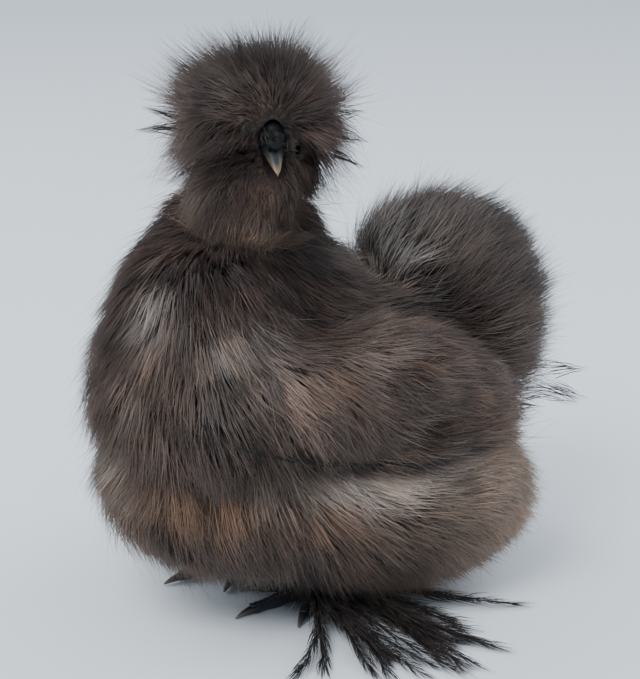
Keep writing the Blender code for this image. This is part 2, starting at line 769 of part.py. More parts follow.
def make_foot(foot):
    whole = shank(foot)
    others = [toe(foot, degrees, length) for degrees, length in TOES.values()]
    turn = math.radians(FIFTH_TOE[0])
    reach = FIFTH_TOE[1]
    end = foot_point(foot, reach * math.cos(turn), reach * math.sin(turn), FIFTH_TOE_HEIGHT)
    others.append(tube([foot_point(foot, 0, 0, 6), end], [TOE_RADIUS, TOE_RADIUS - 0.8]))
    draw = random.Random(SEED + len(foot))
    for i in range(FOOT_FEATHERS):
        others.append(foot_feather(foot, i / (FOOT_FEATHERS - 1), draw))
    boolean(whole, "UNION", others)
    boolean(whole, "DIFFERENCE", [half_space(place(0, 0, 0), turned(0, 0, -1))])
    complete(whole, "foot_" + foot, material("foot " + foot, FACE_BLACK, 0.6))
    level = TOE_RADIUS - SOLE_CUT - TOE_DROP
    for name, (degrees, length) in TOES.items():
        claw(foot, degrees, length, level, CLAW_SLOPE, "claw_" + foot + "_" + name)
    claw(foot, *FIFTH_TOE, FIFTH_TOE_HEIGHT, FIFTH_CLAW_SLOPE, "claw_" + foot + "_fifth")


def settle():
    """Moves the bird so that the middle of her outline stands on the origin."""
    birds = [each for each in bpy.data.objects if each.type == "MESH"]
    points = [v.co for each in birds for v in each.data.vertices]
    middle = [(min(p[i] for p in points) + max(p[i] for p in points)) / 2 for i in (0, 1)]
    low = min(p.z for p in points)
    for each in birds:
        each.data.transform(Matrix.Translation((-middle[0], -middle[1], -low)))


def build():
    for old in list(bpy.data.objects):
        bpy.data.objects.remove(old)
    make_head()
    make_bill()
    make_comb()
    make_eyes()
    for name in ("crest", "beard", "neck"):
        coat_body(name, material(name, COAT_BROWN), head_clearance())
    for name in ("wing_left", "wing_right", "tail"):
        coat_body(name, material(name, COAT_GREY))
    for foot in FOOT_PLACES:
        make_foot(foot)
        coat_body("thigh_" + foot, material("thigh " + foot, COAT_BROWN), foot_clearance(foot))
    coat_body("torso", material("torso", COAT_GREY), [leg_well("left"), leg_well("right")])
    settle()


build()
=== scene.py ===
import math
import bpy
import numpy as np
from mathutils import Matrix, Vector
from mathutils.kdtree import KDTree


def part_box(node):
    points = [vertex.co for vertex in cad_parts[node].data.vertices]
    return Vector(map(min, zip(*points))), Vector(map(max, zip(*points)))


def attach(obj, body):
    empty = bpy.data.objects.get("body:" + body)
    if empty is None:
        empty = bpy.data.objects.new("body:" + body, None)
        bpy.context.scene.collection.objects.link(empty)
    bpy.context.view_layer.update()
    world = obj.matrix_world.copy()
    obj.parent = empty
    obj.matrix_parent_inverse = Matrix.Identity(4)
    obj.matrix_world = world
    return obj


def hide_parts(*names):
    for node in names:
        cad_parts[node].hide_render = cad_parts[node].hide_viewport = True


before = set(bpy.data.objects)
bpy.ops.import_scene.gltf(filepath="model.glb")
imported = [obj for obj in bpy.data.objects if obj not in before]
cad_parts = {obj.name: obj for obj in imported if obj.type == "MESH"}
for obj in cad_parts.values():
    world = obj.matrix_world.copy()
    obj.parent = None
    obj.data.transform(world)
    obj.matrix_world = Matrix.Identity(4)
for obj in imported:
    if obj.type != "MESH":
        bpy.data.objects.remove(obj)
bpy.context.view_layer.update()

# Sizes are millimetres as (forward, left, up) from the floor between her feet, as in the solids.
mm = 0.001
headPose = {
    "centre": (24.0, 5.5, 258.0),  # middle of the skull
    "yaw": 65.0,  # degrees to her left
    "pitch": 12.0,  # degrees down
    "billPitch": 22.0,
    "billBase": (20.0, 0.0, 3.0),  # from the middle of the skull
    "eye": (9.5, 10.6, 2.5),
}


def turned(forward, left, up):
    return np.array([left, -forward, up], float)


def place(forward, left, up):
    return turned(forward, left, up) * mm


def unit(vectors):
    return vectors / np.maximum(np.linalg.norm(vectors, axis=-1, keepdims=True), 1e-12)


def turnAbout(axis, degrees):
    x, y, z = unit(axis)
    cross = np.array([[0, -z, y], [z, 0, -x], [-y, x, 0]])
    turn = math.radians(degrees)
    return np.eye(3) + math.sin(turn) * cross + (1 - math.cos(turn)) * cross @ cross


def axesOf(yaw, pitch):
    spin = turnAbout(np.array([0.0, 0.0, 1.0]), yaw)
    left = spin @ turned(0, 1, 0)
    nod = turnAbout(left, pitch)
    return np.array([nod @ spin @ turned(1, 0, 0), left, nod @ turned(0, 0, 1)])  # forward, left, up


headAxes = axesOf(headPose["yaw"], headPose["pitch"])
billAxes = axesOf(headPose["yaw"], headPose["billPitch"])
headCentre = place(*headPose["centre"])


def onHead(points):
    return headCentre + np.asarray(points, float) @ headAxes * mm


billOrigin = onHead(headPose["billBase"])


def onBill(points):
    return billOrigin + np.asarray(points, float) @ billAxes * mm


# The solids were moved as a whole so that their box stands on the origin: her left eye tells how far.
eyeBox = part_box("eye_left")
shift = (np.array(eyeBox[0]) + np.array(eyeBox[1])) / 2 - onHead(headPose["eye"])
print("shift of the solids", [round(float(s) / mm, 1) for s in shift])

# materials


def linear(hexColour):
    parts = [int(hexColour[i:i + 2], 16) / 255 for i in (1, 3, 5)]
    return np.array([c / 12.92 if c <= 0.04045 else ((c + 0.055) / 1.055) ** 2.4 for c in parts])


def addNode(tree, kind, settings=None, links=None):
    node = tree.nodes.new(kind)
    for key, value in (settings or {}).items():
        if hasattr(node, key):
            setattr(node, key, value)
        else:
            node.inputs[key].default_value = value
    for key, socket in (links or {}).items():
        tree.links.new(socket, node.inputs[key])
    return node


def newMaterial(name, **shader):
    made = bpy.data.materials.new(name)
    made.use_nodes = True
    principled = made.node_tree.nodes["Principled BSDF"]
    for key, value in shader.items():
        principled.inputs[key.replace("_", " ")].default_value = value
    return made, made.node_tree, principled


def paintedMaterial(name, grain, depth, low=0.85, high=1.15, **shader):
    made, tree, principled = newMaterial(name, **shader)
    paint = addNode(tree, "ShaderNodeAttribute", {"attribute_name": "paint"})
    spots = addNode(tree, "ShaderNodeTexCoord")
    noise = addNode(tree, "ShaderNodeTexNoise", {"Scale": 1 / (grain * mm), "Detail": 2.0},
                    {"Vector": spots.outputs["Object"]})
    span = addNode(tree, "ShaderNodeMapRange", {"To Min": low, "To Max": high},
                   {"Value": noise.outputs["Fac"]})
    mix = addNode(tree, "ShaderNodeVectorMath", {"operation": "SCALE"},
                  {0: paint.outputs["Color"], "Scale": span.outputs["Result"]})
    tree.links.new(mix.outputs["Vector"], principled.inputs["Base Color"])
    if depth:
        bump = addNode(tree, "ShaderNodeBump", {"Strength": 0.6, "Distance": depth * mm},
                       {"Height": noise.outputs["Fac"]})
        tree.links.new(bump.outputs["Normal"], principled.inputs["Normal"])
    return made


# silky down: long soft barbs that scatter light, nearly matt, with a faint sheen along each strand
downMaterial = paintedMaterial("silky down", 7.0, 0, 0.8, 1.2, Roughness=0.62, IOR=1.5,
                               Specular_IOR_Level=0.2, Sheen_Weight=0.06, Sheen_Roughness=0.5)
# foot feathering: the same feathers, damp and stuck together, so darker and glossier
dampMaterial = paintedMaterial("damp feathering", 5.0, 0, 0.8, 1.2, Roughness=0.42, IOR=1.5)
# bare skin: blue-black, soft and finely wrinkled, with a dull shine on the folds
skinMaterial = paintedMaterial("bare skin", 0.9, 0.35, 0.75, 1.25, Roughness=0.55, IOR=1.4,
                               Specular_IOR_Level=0.3)
# horn: smooth keratin with a low gloss, slate going pale where it is thin
hornMaterial = paintedMaterial("horn", 1.6, 0.05, 0.85, 1.15, Roughness=0.38, IOR=1.54)
# scales of the foot: dry horny plates over skin
scaleMaterial = paintedMaterial("foot scale", 1.2, 0.12, 0.8, 1.2, Roughness=0.5, IOR=1.5)
# eye: wet cornea over a very dark brown iris
eyeMaterial = paintedMaterial("eye", 1.0, 0, 0.95, 1.05, Roughness=0.06, IOR=1.376)

# pieces


def setPaint(mesh, colours):
    layer = mesh.attributes.new("paint", "FLOAT_COLOR", "POINT")
    full = np.ones((len(mesh.vertices), 4), np.float32)
    full[:, :3] = colours
    layer.data.foreach_set("color", full.ravel())


def addPiece(name, mesh, material, nodes=()):
    mesh.name = name
    mesh.materials.clear()
    mesh.materials.append(material)
    piece = bpy.data.objects.new(name, mesh)
    bpy.context.scene.collection.objects.link(piece)
    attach(piece, "root")
    if nodes:
        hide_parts(*nodes)


def meshFrom(points, triangles):
    mesh = bpy.data.meshes.new("piece")
    mesh.vertices.add(len(points))
    mesh.vertices.foreach_set("co", np.asarray(points + shift, np.float32).ravel())
    mesh.loops.add(triangles.size)
    mesh.loops.foreach_set("vertex_index", triangles.astype(np.int32).ravel())
    mesh.polygons.add(len(triangles))
    mesh.polygons.foreach_set("loop_start", np.arange(0, triangles.size, 3, dtype=np.int32))
    mesh.update(calc_edges=True)
    mesh.polygons.foreach_set("use_smooth", np.full(len(triangles), True))
    return mesh


def pointsOf(mesh):
    found = np.empty(len(mesh.vertices) * 3, np.float32)
    mesh.vertices.foreach_get("co", found)
    return found.reshape(-1, 3).astype(float) - shift


def trianglesOf(mesh):
    mesh.calc_loop_triangles()
    found = np.empty(len(mesh.loop_triangles) * 3, np.int32)
    mesh.loop_triangles.foreach_get("vertices", found)
    return found.reshape(-1, 3)


def loft(rings, tip=None):
    rings = [np.asarray(r) for r in rings]
    count = len(rings[0])
    end = rings[-1].mean(0) if tip is None else tip
    points = np.concatenate(rings + [rings[0].mean(0)[None], end[None]])
    first, last = len(points) - 2, len(points) - 1
    i = np.arange(count)
    j = (i + 1) % count
    faces = []
    for k in range(len(rings) - 1):
        a, b = k * count, (k + 1) * count
        faces += [np.stack([a + i, a + j, b + j], 1), np.stack([a + i, b + j, b + i], 1)]
    end = (len(rings) - 1) * count
    faces += [np.stack([j, i, np.full(count, first)], 1),
              np.stack([end + i, end + j, np.full(count, last)], 1)]
    return points, np.concatenate(faces)


def ellipsoid(onFrame, centre, reach, segments=32, rings=20):
    turns = np.arange(segments) * math.tau / segments
    rows = []
    for k in range(1, rings):
        lat = math.pi * (k / rings - 0.5)
        flat = math.cos(lat)
        rows.append(onFrame(np.stack([centre[0] + reach[0] * flat * np.cos(turns),
                                      centre[1] + reach[1] * flat * np.sin(turns),
                                      np.full(segments, centre[2] + reach[2] * math.sin(lat))], 1)))
    points, faces = loft(rows)
    points[-2:] = onFrame(np.array([[centre[0], centre[1], centre[2] - reach[2]],
                                    [centre[0], centre[1], centre[2] + reach[2]]]))
    return points, faces


def outward(points, faces):  # turns a closed shell right side out
    a, b, c = (points[faces[:, k]] for k in range(3))
    volume = np.einsum("ij,ij->i", a, np.cross(b, c)).sum()
    return faces if volume > 0 else faces[:, ::-1]


def joined(parts):
    points, faces, start = [], [], 0
    for somePoints, someFaces in parts:
        points.append(somePoints)
        faces.append(outward(somePoints, someFaces) + start)
        start += len(somePoints)
    return np.concatenate(points), np.concatenate(faces)


def helper(points, faces):
    made = bpy.data.objects.new("helper", meshFrom(points, faces))
    bpy.context.scene.collection.objects.link(made)
    return made


def changed(thing, kind, **settings):  # the object's mesh after one modifier, applied
    change = thing.modifiers.new("change", kind)
    for key, value in settings.items():
        setattr(change, key, value)
    graph = bpy.context.evaluated_depsgraph_get()
    result = bpy.data.meshes.new_from_object(thing.evaluated_get(graph))
    thing.modifiers.remove(change)
    thing.data = result
    return thing


def remeshed(parts, voxel):
    thing = helper(*joined(parts))
    return changed(thing, "REMESH", mode="VOXEL", voxel_size=voxel * mm)


def combined(thing, operation, other):
    changed(thing, "BOOLEAN", operation=operation, object=other, solver="MANIFOLD")
    bpy.data.objects.remove(other)


def smoothed(points, faces, rounds, share=0.5):
    edges = np.concatenate([faces[:, [0, 1]], faces[:, [1, 2]], faces[:, [2, 0]]])
    links = np.unique(np.sort(edges, 1), axis=0)
    count = np.bincount(links.ravel(), minlength=len(points))[:, None]
    for _ in range(rounds):
        total = np.zeros_like(points)
        for axis in range(3):
            total[:, axis] = np.bincount(links[:, 0], points[links[:, 1], axis], len(points))
            total[:, axis] += np.bincount(links[:, 1], points[links[:, 0], axis], len(points))
        points = points + share * (total / np.maximum(count, 1) - points)
    return points


# forms of the body: blobs as centre, reach, yaw and pitch, then depth and length of the coat
forms = {
    "crest": dict(blobs=[((26, 3, 273), (41, 43, 35), 58, 0), ((25, 3, 265), (42, 45, 24), 58, 0)],
                  depth=17, length=36),
    "beard": dict(blobs=[((42, 15, 233), (34, 35, 31), 58, 0), ((29, 8, 246), (28, 35, 22), 58, 0),
                         ((15, 18, 252), (16, 16, 17), 58, 0)],
                  depth=13, length=30),
    "neck": dict(blobs=[((45, -1, 173), (63, 61, 49), 0, 0), ((32, -9, 203), (38, 51, 39), 58, 0)],
                 depth=15, length=38),
    "tail": dict(blobs=[((-102, 0, 144), (59, 66, 72), 0, 0), ((-76, 0, 164), (42, 52, 50), 0, 0),
                        ((-116, 0, 116), (46, 56, 42), 0, 0)], depth=22, length=50),
    "wingLeft": dict(blobs=[((-11, 62, 126), (81, 33, 40), 0, -14)], depth=13, length=38),
    "wingRight": dict(blobs=[((-11, -62, 126), (81, 33, 40), 0, -14)], depth=13, length=38),
    "thighLeft": dict(blobs=[((-34, 50, 56), (82, 44, 48), -8, 0)], depth=14, length=38),
    "thighRight": dict(blobs=[((-34, -50, 56), (82, 44, 48), 8, 0)], depth=14, length=38),
    "torso": dict(blobs=[((31, -1, 124), (95, 86, 88), 0, 0), ((5, -1, 72), (117, 89, 57), 0, 0),
                         ((-70, 0, 64), (76, 68, 48), 0, 0), ((-30, 0, 120), (80, 74, 62), 0, 0)],
                  depth=18, length=40),
}
formNames = list(forms)
blobCentres, blobAxes, blobReach, blobForm = [], [], [], []
for formIndex, form in enumerate(forms.values()):
    for centre, reach, yaw, pitch in form["blobs"]:
        blobCentres.append(place(*centre))
        blobAxes.append(axesOf(yaw, pitch))
        blobReach.append([(r - form["depth"]) * mm for r in reach])
        blobForm.append(formIndex)
blobCentres, blobAxes, blobReach = np.array(blobCentres), np.array(blobAxes), np.array(blobReach)
blobForm = np.array(blobForm)
depths = np.array([form["depth"] for form in forms.values()]) * mm
lengths = np.array([form["length"] for form in forms.values()]) * mm
skinBlend = 4.0 * mm  # how softly the blobs of the skin meet
formBlend = 12.0 * mm  # over what width one form's lie and length turn into the next one's


def fields(points):  # height over the skin, direction out of it, and the share of each form there
    away = points[:, None, :] - blobCentres
    local = np.einsum("nbk,bjk->nbj", away, blobAxes) / blobReach
    steep = local / blobReach
    k0 = np.linalg.norm(local, axis=2)
    k1 = np.maximum(np.linalg.norm(steep, axis=2), 1e-9)
    height = k0 * (k0 - 1) / k1
    out = np.einsum("nbj,bjk->nbk", steep / k1[..., None], blobAxes)
    least = height.min(1, keepdims=True)
    near = np.exp((least - height) / skinBlend)
    normal = unit((near[..., None] * out).sum(1))
    level = least[:, 0] - skinBlend * np.log(near.sum(1))
    wide = np.exp((least - height) / formBlend)
    share = np.stack([wide[:, blobForm == f].sum(1) for f in range(len(formNames))], 1)
    return level, normal, share / share.sum(1, keepdims=True)


def lies(points):  # which way each form's plumage flows at each point
    forward = -points[:, 1:2] / mm
    up = points[:, 2:3] / mm
    ones = np.ones((len(points), 1))
    down = np.clip((forward + 70) / 110, 0.15, 1.0)
    side = np.array([1.0, 0.0, 0.0])
    puff = unit(points - onHead((4, 0, 2)))
    hang = np.clip(0.55 - puff[:, 2:3], 0, 1.2)  # the crest falls over at its rim and hangs under it
    fall = np.clip((78 - up) / 50, 0, 1)  # the fluff of the thighs turns down towards the floor
    front = np.clip((forward - 5) / 60, 0, 1)  # the shoulder end of a wing hangs like the breast
    wing = turned(-1.0, 0, -0.28) * (1 - front) + turned(-0.5, 0, -1.0) * front
    flow = {
        "crest": puff + turned(0, 0, -1.1) * hang,
        "beard": unit(points - onBill((-4, 0, 10))) + turned(0, 0, -0.3),
        "neck": turned(-0.25, 0, -1.0) * ones + unit(points - place(40, 0, 200)) * 0.5,
        "tail": unit(points - place(-58, 0, 118)) + turned(-0.25, 0, 0),
        "wingLeft": wing,
        "wingRight": wing,
        "thighLeft": turned(-0.9, 0, -0.25) * (1 - fall) + turned(-0.55, 0, -0.9) * fall + side * 0.3,
        "thighRight": turned(-0.9, 0, -0.25) * (1 - fall) + turned(-0.55, 0, -0.9) * fall - side * 0.3,
        "torso": turned(-1, 0, 0) * (1 - 0.75 * down) + turned(0, 0, -1.0) * down,
    }
    return np.stack([unit(flow[name]) for name in formNames], 1)


def flowAt(points, normal, share):
    flow = (lies(points) * share[..., None]).sum(1)
    lift = np.einsum("ij,ij->i", flow, normal)
    return flow, lift


# markings: the same on skin and coat
plumage = {  # colour of each form, then soft patches over them: colour, place, reach, share
    "crest": "#64544d",
    "beard": "#5b4940",
    "neck": "#463834",
    "tail": "#4b413d",
    "wingLeft": "#6e5a50",
    "wingRight": "#6e5a50",
    "thighLeft": "#806b5d",
    "thighRight": "#806b5d",
    "torso": "#68574d",
    "patches": [
        ("#756a66", (65, 13, 287), (14, 14, 11), 0.7),  # grey spot on the crest
        ("#1f1817", (28, 12, 304), (48, 48, 20), 0.9),
        ("#1d1716", (53, 32, 263), (14, 14, 12), 0.75),
        ("#382d2a", (52, 26, 246), (9, 9, 9), 0.7),  # painted shade in the hollows round the eyes (this patch and the next)
        ("#382d2a", (22, 42, 246), (8, 8, 8), 0.4),
        ("#a08773", (53, 41, 216), (17, 18, 8), 0.75),  # paler tips of the beard
        ("#a08b7a", (76, 9, 229), (10, 10, 7), 0.7),  # pale streak on the neck
        ("#1e1615", (72, 17, 250), (14, 14, 15), 0.75),
        ("#2e2422", (70, 31, 238), (13, 13, 12), 0.6),
        ("#2b2222", (30, 50, 200), (24, 24, 20), 0.8),  # painted shade under the beard, on the nape
        ("#332928", (76, 44, 199), (20, 20, 16), 0.6),
        ("#2a2220", (101, 48, 160), (10, 12, 16), 0.7),
        ("#a89a92", (106, 20, 181), (15, 15, 19), 0.8),  # streaks of the breast, pale and dark in turn
        ("#322726", (124, -4, 152), (12, 14, 22), 0.7),
        ("#a08a78", (124, 22, 137), (12, 12, 16), 0.75),
        ("#2e2323", (108, 49, 142), (10, 9, 26), 0.85),
        ("#ad9c90", (87, 61, 163), (15, 16, 13), 0.85),
        ("#96877d", (97, 60, 141), (12, 11, 12), 0.8),
        ("#33282a", (102, 55, 108), (16, 12, 14), 0.75),
        ("#3a2e2a", (123, 24, 107), (10, 10, 8), 0.6),
        ("#a99684", (122, -4, 93), (12, 12, 14), 0.8),
        ("#8c6c53", (108, 38, 78), (22, 24, 14), 0.75),
        ("#86654c", (86, 62, 76), (18, 16, 10), 0.75),
        ("#35251e", (90, 58, 52), (40, 40, 12), 0.85),
        ("#b7a49a", (62, 73, 162), (18, 14, 16), 0.8),  # wing
        ("#9a7f70", (40, 84, 136), (26, 16, 15), 0.65),
        ("#8a776d", (8, 86, 152), (26, 16, 16), 0.6),
        ("#362b29", (86, 66, 106), (18, 16, 8), 0.6),
        ("#f4e0d0", (8, 88, 83), (38, 24, 13), 0.95),  # pale fluff behind the knee
        ("#a5907f", (-60, 90, 68), (34, 34, 22), 0.75),
        ("#b09a86", (-104, 56, 62), (26, 40, 22), 0.7),
        ("#6c5546", (5, 82, 34), (50, 40, 14), 0.5),
        ("#6c4e3c", (40, 80, 68), (40, 26, 14), 0.7),
        ("#352b2b", (-76, 50, 168), (26, 30, 26), 0.7),  # dark band inside the tail: painted shade where it meets the back
        ("#96908a", (-52, 14, 196), (20, 46, 24), 0.85),  # greyer front and top of the tail
        ("#4a4442", (-100, 10, 210), (34, 50, 16), 0.6),
        ("#70655e", (-98, 62, 124), (24, 24, 18), 0.5),
    ],
    "mottle": ((0.34, 15.0), (0.24, 5.5)),  # shares and sizes in mm of the soft clouding over the whole coat
}


def clouds(points, size):  # soft waves between -1 and 1
    waves = points / (size * mm)
    crossed = np.sin(waves @ [1.0, 0.6, 0.3] + 1.0) * np.sin(waves @ [-0.5, 1.1, 0.4])
    return (crossed + np.sin(waves @ [0.3, -0.4, 1.2] + np.sin(waves @ [0.7, 0.5, -0.6]))) / 2


def markings(points, share):
    base = np.array([linear(plumage[name]) for name in formNames])
    colour = share @ base
    for hexColour, centre, reach, most in plumage["patches"]:
        away = (points - place(*centre)) / (np.array([reach[1], reach[0], reach[2]]) * mm)
        weight = (most * np.exp(-(away ** 2).sum(1)))[:, None]
        colour = colour * (1 - weight) + linear(hexColour) * weight
    for most, size in plumage["mottle"]:
        colour = colour * (1 + most * clouds(points, size))[:, None]
    return colour


# skin: one closed surface under the whole coat, with the bare head standing out of it
headShape = {
    "skull": (23.0, 14.5, 16.0),
    "muzzle": ((-8, 0, -1), (15.0, 8.5, 8.5)),  # from the base of the bill
    "lidRadius": 4.9,
    "lidThickness": 1.1,
    "ear": (-5.0, 13.6, -2.0),
    "lobe": ((-3.0, 13.0, -8.6), (3.4, 2.2, 4.4)),
    "eyeRadius": 4.6,
    "faceSlot": ((8, 0, 2), (25, 7.5, 14)),
    "eyeRoom": (12.6, (8.8, 5.6, 8.8)),  # how far out the bare skin round the eye is centred, and its reach
    "earRoom": ((-4, 13.4, -5), (6.6, 4.2, 10.0), (6.0, 3.8, 9.0)),  # its centre, the cut, and where no tuft is
    "under": (((25, 4, 236), (15, 13, 20)), ((7, 8, 249), (11, 11, 12))),  # throat and back of the head
}


def torus(centre, radius, thickness, lean, segments=28, sides=10):
    side = math.copysign(1.0, centre[1])
    rows = []
    for i in range(segments):
        turn = math.tau * i / segments
        roll = np.arange(sides) * math.tau / sides
        far = radius + thickness * np.cos(roll)
        out = side * (thickness * np.sin(roll) - lean * math.cos(turn) * far)
        rows.append(onHead(np.stack([centre[0] + far * math.cos(turn), centre[1] + out,
                                     centre[2] + far * math.sin(turn)], 1)))
    points = np.concatenate(rows)
    i, j = np.meshgrid(np.arange(segments), np.arange(sides), indexing="ij")
    a, b = i * sides + j, i * sides + (j + 1) % sides
    c, d = ((i + 1) % segments) * sides + j, ((i + 1) % segments) * sides + (j + 1) % sides
    halves = [np.stack(corner, -1).reshape(-1, 3) for corner in ((a, b, d), (a, d, c))]
    return points, np.concatenate(halves)


def box(onFrame, low, high):
    ends = list(zip(low, high))
    corners = np.array([[x, y, z] for x in ends[0] for y in ends[1] for z in ends[2]])
    faces = np.array([[0, 1, 3], [0, 3, 2], [4, 6, 7], [4, 7, 5], [0, 4, 5], [0, 5, 1],
                      [2, 3, 7], [2, 7, 6], [0, 2, 6], [0, 6, 4], [1, 5, 7], [1, 7, 3]])
    return onFrame(corners.astype(float)), faces


def makeHeadSkin():
    eye = headPose["eye"]
    parts = [ellipsoid(onHead, (0, 0, 0), headShape["skull"]), ellipsoid(onBill, *headShape["muzzle"])]
    for side in (1, -1):
        rim = (eye[0], side * (eye[1] + 2.0), eye[2])
        parts.append(torus(rim, headShape["lidRadius"], headShape["lidThickness"], 0.28))
        ear = headShape["ear"]
        parts.append(torus((ear[0], side * ear[1], ear[2]), 2.9, 1.0, -0.1))
        lobe, reach = headShape["lobe"]
        parts.append(ellipsoid(onHead, (lobe[0], side * lobe[1], lobe[2]), reach))
    head = remeshed(parts, 0.55)
    rough = head.data
    bpy.data.objects.remove(head)
    head = helper(smoothed(pointsOf(rough), trianglesOf(rough), 4), trianglesOf(rough))
    size = headShape["eyeRadius"] + 0.25
    cuts = [box(onBill, (0, -20, -20), (40, 20, 20)), box(onBill, (-10, -15, -1.5), (1, 15, -0.9))]
    for side in (1, -1):
        cuts.append(ellipsoid(onHead, (eye[0], side * eye[1], eye[2]), (size, size, size)))
        ear = headShape["ear"]
        cuts.append(ellipsoid(onHead, (ear[0], side * (ear[1] + 0.8), ear[2]), (2.2, 2.6, 2.2)))
    for cut in cuts:
        combined(head, "DIFFERENCE", helper(cut[0], outward(*cut)))
    return head


def makeBodySkin():
    parts = []
    for centre, axes, reach in zip(blobCentres, blobAxes, blobReach):
        parts.append(ellipsoid(lambda p: centre + p @ axes * mm, (0, 0, 0), reach / mm, 48, 30))
    for spot, reach in headShape["under"]:
        parts.append(ellipsoid(lambda p: place(*spot) + p @ headAxes * mm, (0, 0, 0), reach))
    body = remeshed(parts, 3.0)
    points, faces = pointsOf(body.data), trianglesOf(body.data)
    points = smoothed(points, faces, 3)
    bpy.data.objects.remove(body)
    return points, faces


bodyPoints, bodyFaces = makeBodySkin()
print("body skin", len(bodyFaces), "triangles")
skin = helper(bodyPoints, bodyFaces)
slotCentre, slotReach = headShape["faceSlot"]
clearances = [ellipsoid(onBill, slotCentre, slotReach)]
for side in (1, -1):
    eyeOut, eyeReach = headShape["eyeRoom"]
    earSpot, earCut, earReach = headShape["earRoom"]
    clearances.append(ellipsoid(onHead, (headPose["eye"][0], side * eyeOut, headPose["eye"][2]), eyeReach))
    clearances.append(ellipsoid(onHead, (earSpot[0], side * earSpot[1], earSpot[2]), earCut))
for clearance in clearances:
    combined(skin, "DIFFERENCE", helper(clearance[0], outward(*clearance)))
combined(skin, "UNION", makeHeadSkin())
skinPoints = pointsOf(skin.data)
_, _, skinShare = fields(skinPoints)
skullAway = (skinPoints - headCentre) @ headAxes.T / (np.array(headShape["skull"]) * mm)
bare = np.clip((1.35 - np.linalg.norm(skullAway, axis=1)) / 0.12, 0, 1)[:, None]
skinColours = markings(skinPoints, skinShare) * 0.45 * (1 - bare) + linear("#141419") * bare
setPaint(skin.data, skinColours)
skinMesh = skin.data
bpy.data.objects.remove(skin)
addPiece("skin", skinMesh, skinMaterial,
         ("torso", "neck", "crest", "beard", "tail", "wing_left", "wing_right", "thigh_left", "thigh_right",
          "head"))
print("skin", len(skinMesh.polygons), "faces")

# coat
coatShape = {
    "seed": 11,
    "alongSteps": (0.0, 0.5, 1.0),
    "widths": (0.6, 1.0),
    "thickness": 0.35,  # share of the width
    "rootSink": 1.2,  # mm under the skin
    "clumpSize": 26,  # tufts that lean together
    "floorRoom": 1.0,  # mm that every tuft keeps off the floor
    "wispTop": 316.0,
    "faceFade": 14.0,  # mm over which tufts grow longer away from the bare face
    "lip": 0.6,  # how much higher a form that hangs over stands at its edge
    "lipped": {"crest": (258, 0.4), "beard": (226, 0.8)},  # below which height it does, and the shade under it
    "wingEdge": ((110, 128), (86, 121), (40, 105), (-15, 98), (-72, 100), (-105, 107)),  # forward and up
    "wingLift": 0.75,  # how much higher the down stands along that edge
    "wingShade": 0.9,
    "swirl": (20.0, 17.0),  # degrees and mm of the slow turns in the lie
    "patch": 0.003,  # size of a tuft on the bake map
}
coatPieces = {  # forms, tufts, width in mm, clumping, sway in degrees, bend over, share of wisps, droop,
    # how much higher a tuft stands where its lie points out of the skin, and contrast between clumps
    "crest": (["crest"], 18500, 0.4, 0.2, 17, 0.9, 0.5, 0.12, 0.35, 0.25),
    "beard": (["beard"], 12500, 0.4, 0.3, 17, 0.7, 0.3, 0.06, 0.3, 0.35),
    "neck": (["neck"], 15000, 0.55, 0.35, 11, 1.4, 0.2, 0.04, 0.0, 0.5),
    "tail": (["tail"], 17500, 0.5, 0.25, 14, 1.0, 0.35, 0.04, 0.0, 0.5),
    "wingLeft": (["wingLeft"], 13500, 0.55, 0.35, 13, 1.6, 0.2, 0.03, 0.0, 0.5),
    "wingRight": (["wingRight"], 6500, 0.65, 0.35, 13, 1.6, 0.15, 0.03, 0.0, 0.5),
    "thighLeft": (["thighLeft"], 14000, 0.5, 0.25, 15, 1.0, 0.35, 0.03, 0.0, 0.35),
    "thighRight": (["thighRight"], 6000, 0.65, 0.25, 15, 1.0, 0.3, 0.03, 0.0, 0.35),
    "breast": (["torso"], 18500, 0.6, 0.35, 13, 1.2, 0.25, 0.03, 0.0, 0.5),
    "back": (["torso"], 7500, 0.7, 0.35, 13, 1.2, 0.2, 0.03, 0.0, 0.5),
}
coatKeys = ("forms", "tufts", "width", "clump", "sway", "bend", "wisps", "droop", "stand", "contrast")
nodeOf = {"crest": "crest", "beard": "beard", "neck": "neck", "tail": "tail", "wingLeft": "wing_left",
          "wingRight": "wing_right", "thighLeft": "thigh_left", "thighRight": "thigh_right", "torso": "torso"}
density = 1.0


def faceRoom(points, sides=True):  # mm from the bare face, and below 0 in it
    room = np.full(len(points), 1e3)
    slot = (points - onBill(slotCentre)) @ billAxes.T / mm
    shapes = [(slot, np.array(slotReach))]
    for side in (1, -1) if sides else ():
        eye = (points - onHead((headPose["eye"][0], side * eyeOut, headPose["eye"][2]))) @ headAxes.T / mm
        ear = (points - onHead((earSpot[0], side * earSpot[1], earSpot[2]))) @ headAxes.T / mm
        shapes += [(eye, np.array(eyeReach)), (ear, np.array(earReach))]
    for local, reach in shapes:
        k0 = np.linalg.norm(local / reach, axis=1)
        k1 = np.maximum(np.linalg.norm(local / reach ** 2, axis=1), 1e-9)
        room = np.minimum(room, k0 * (k0 - 1) / k1)
    return room


corners = [bodyPoints[bodyFaces[:, k]] for k in range(3)]
faceCentre = sum(corners) / 3
faceArea = np.linalg.norm(np.cross(corners[1] - corners[0], corners[2] - corners[0]), axis=1) / 2
_, _, faceShare = fields(faceCentre)
faceForm = faceShare.argmax(1)
openFace = faceRoom(faceCentre) > 0.5


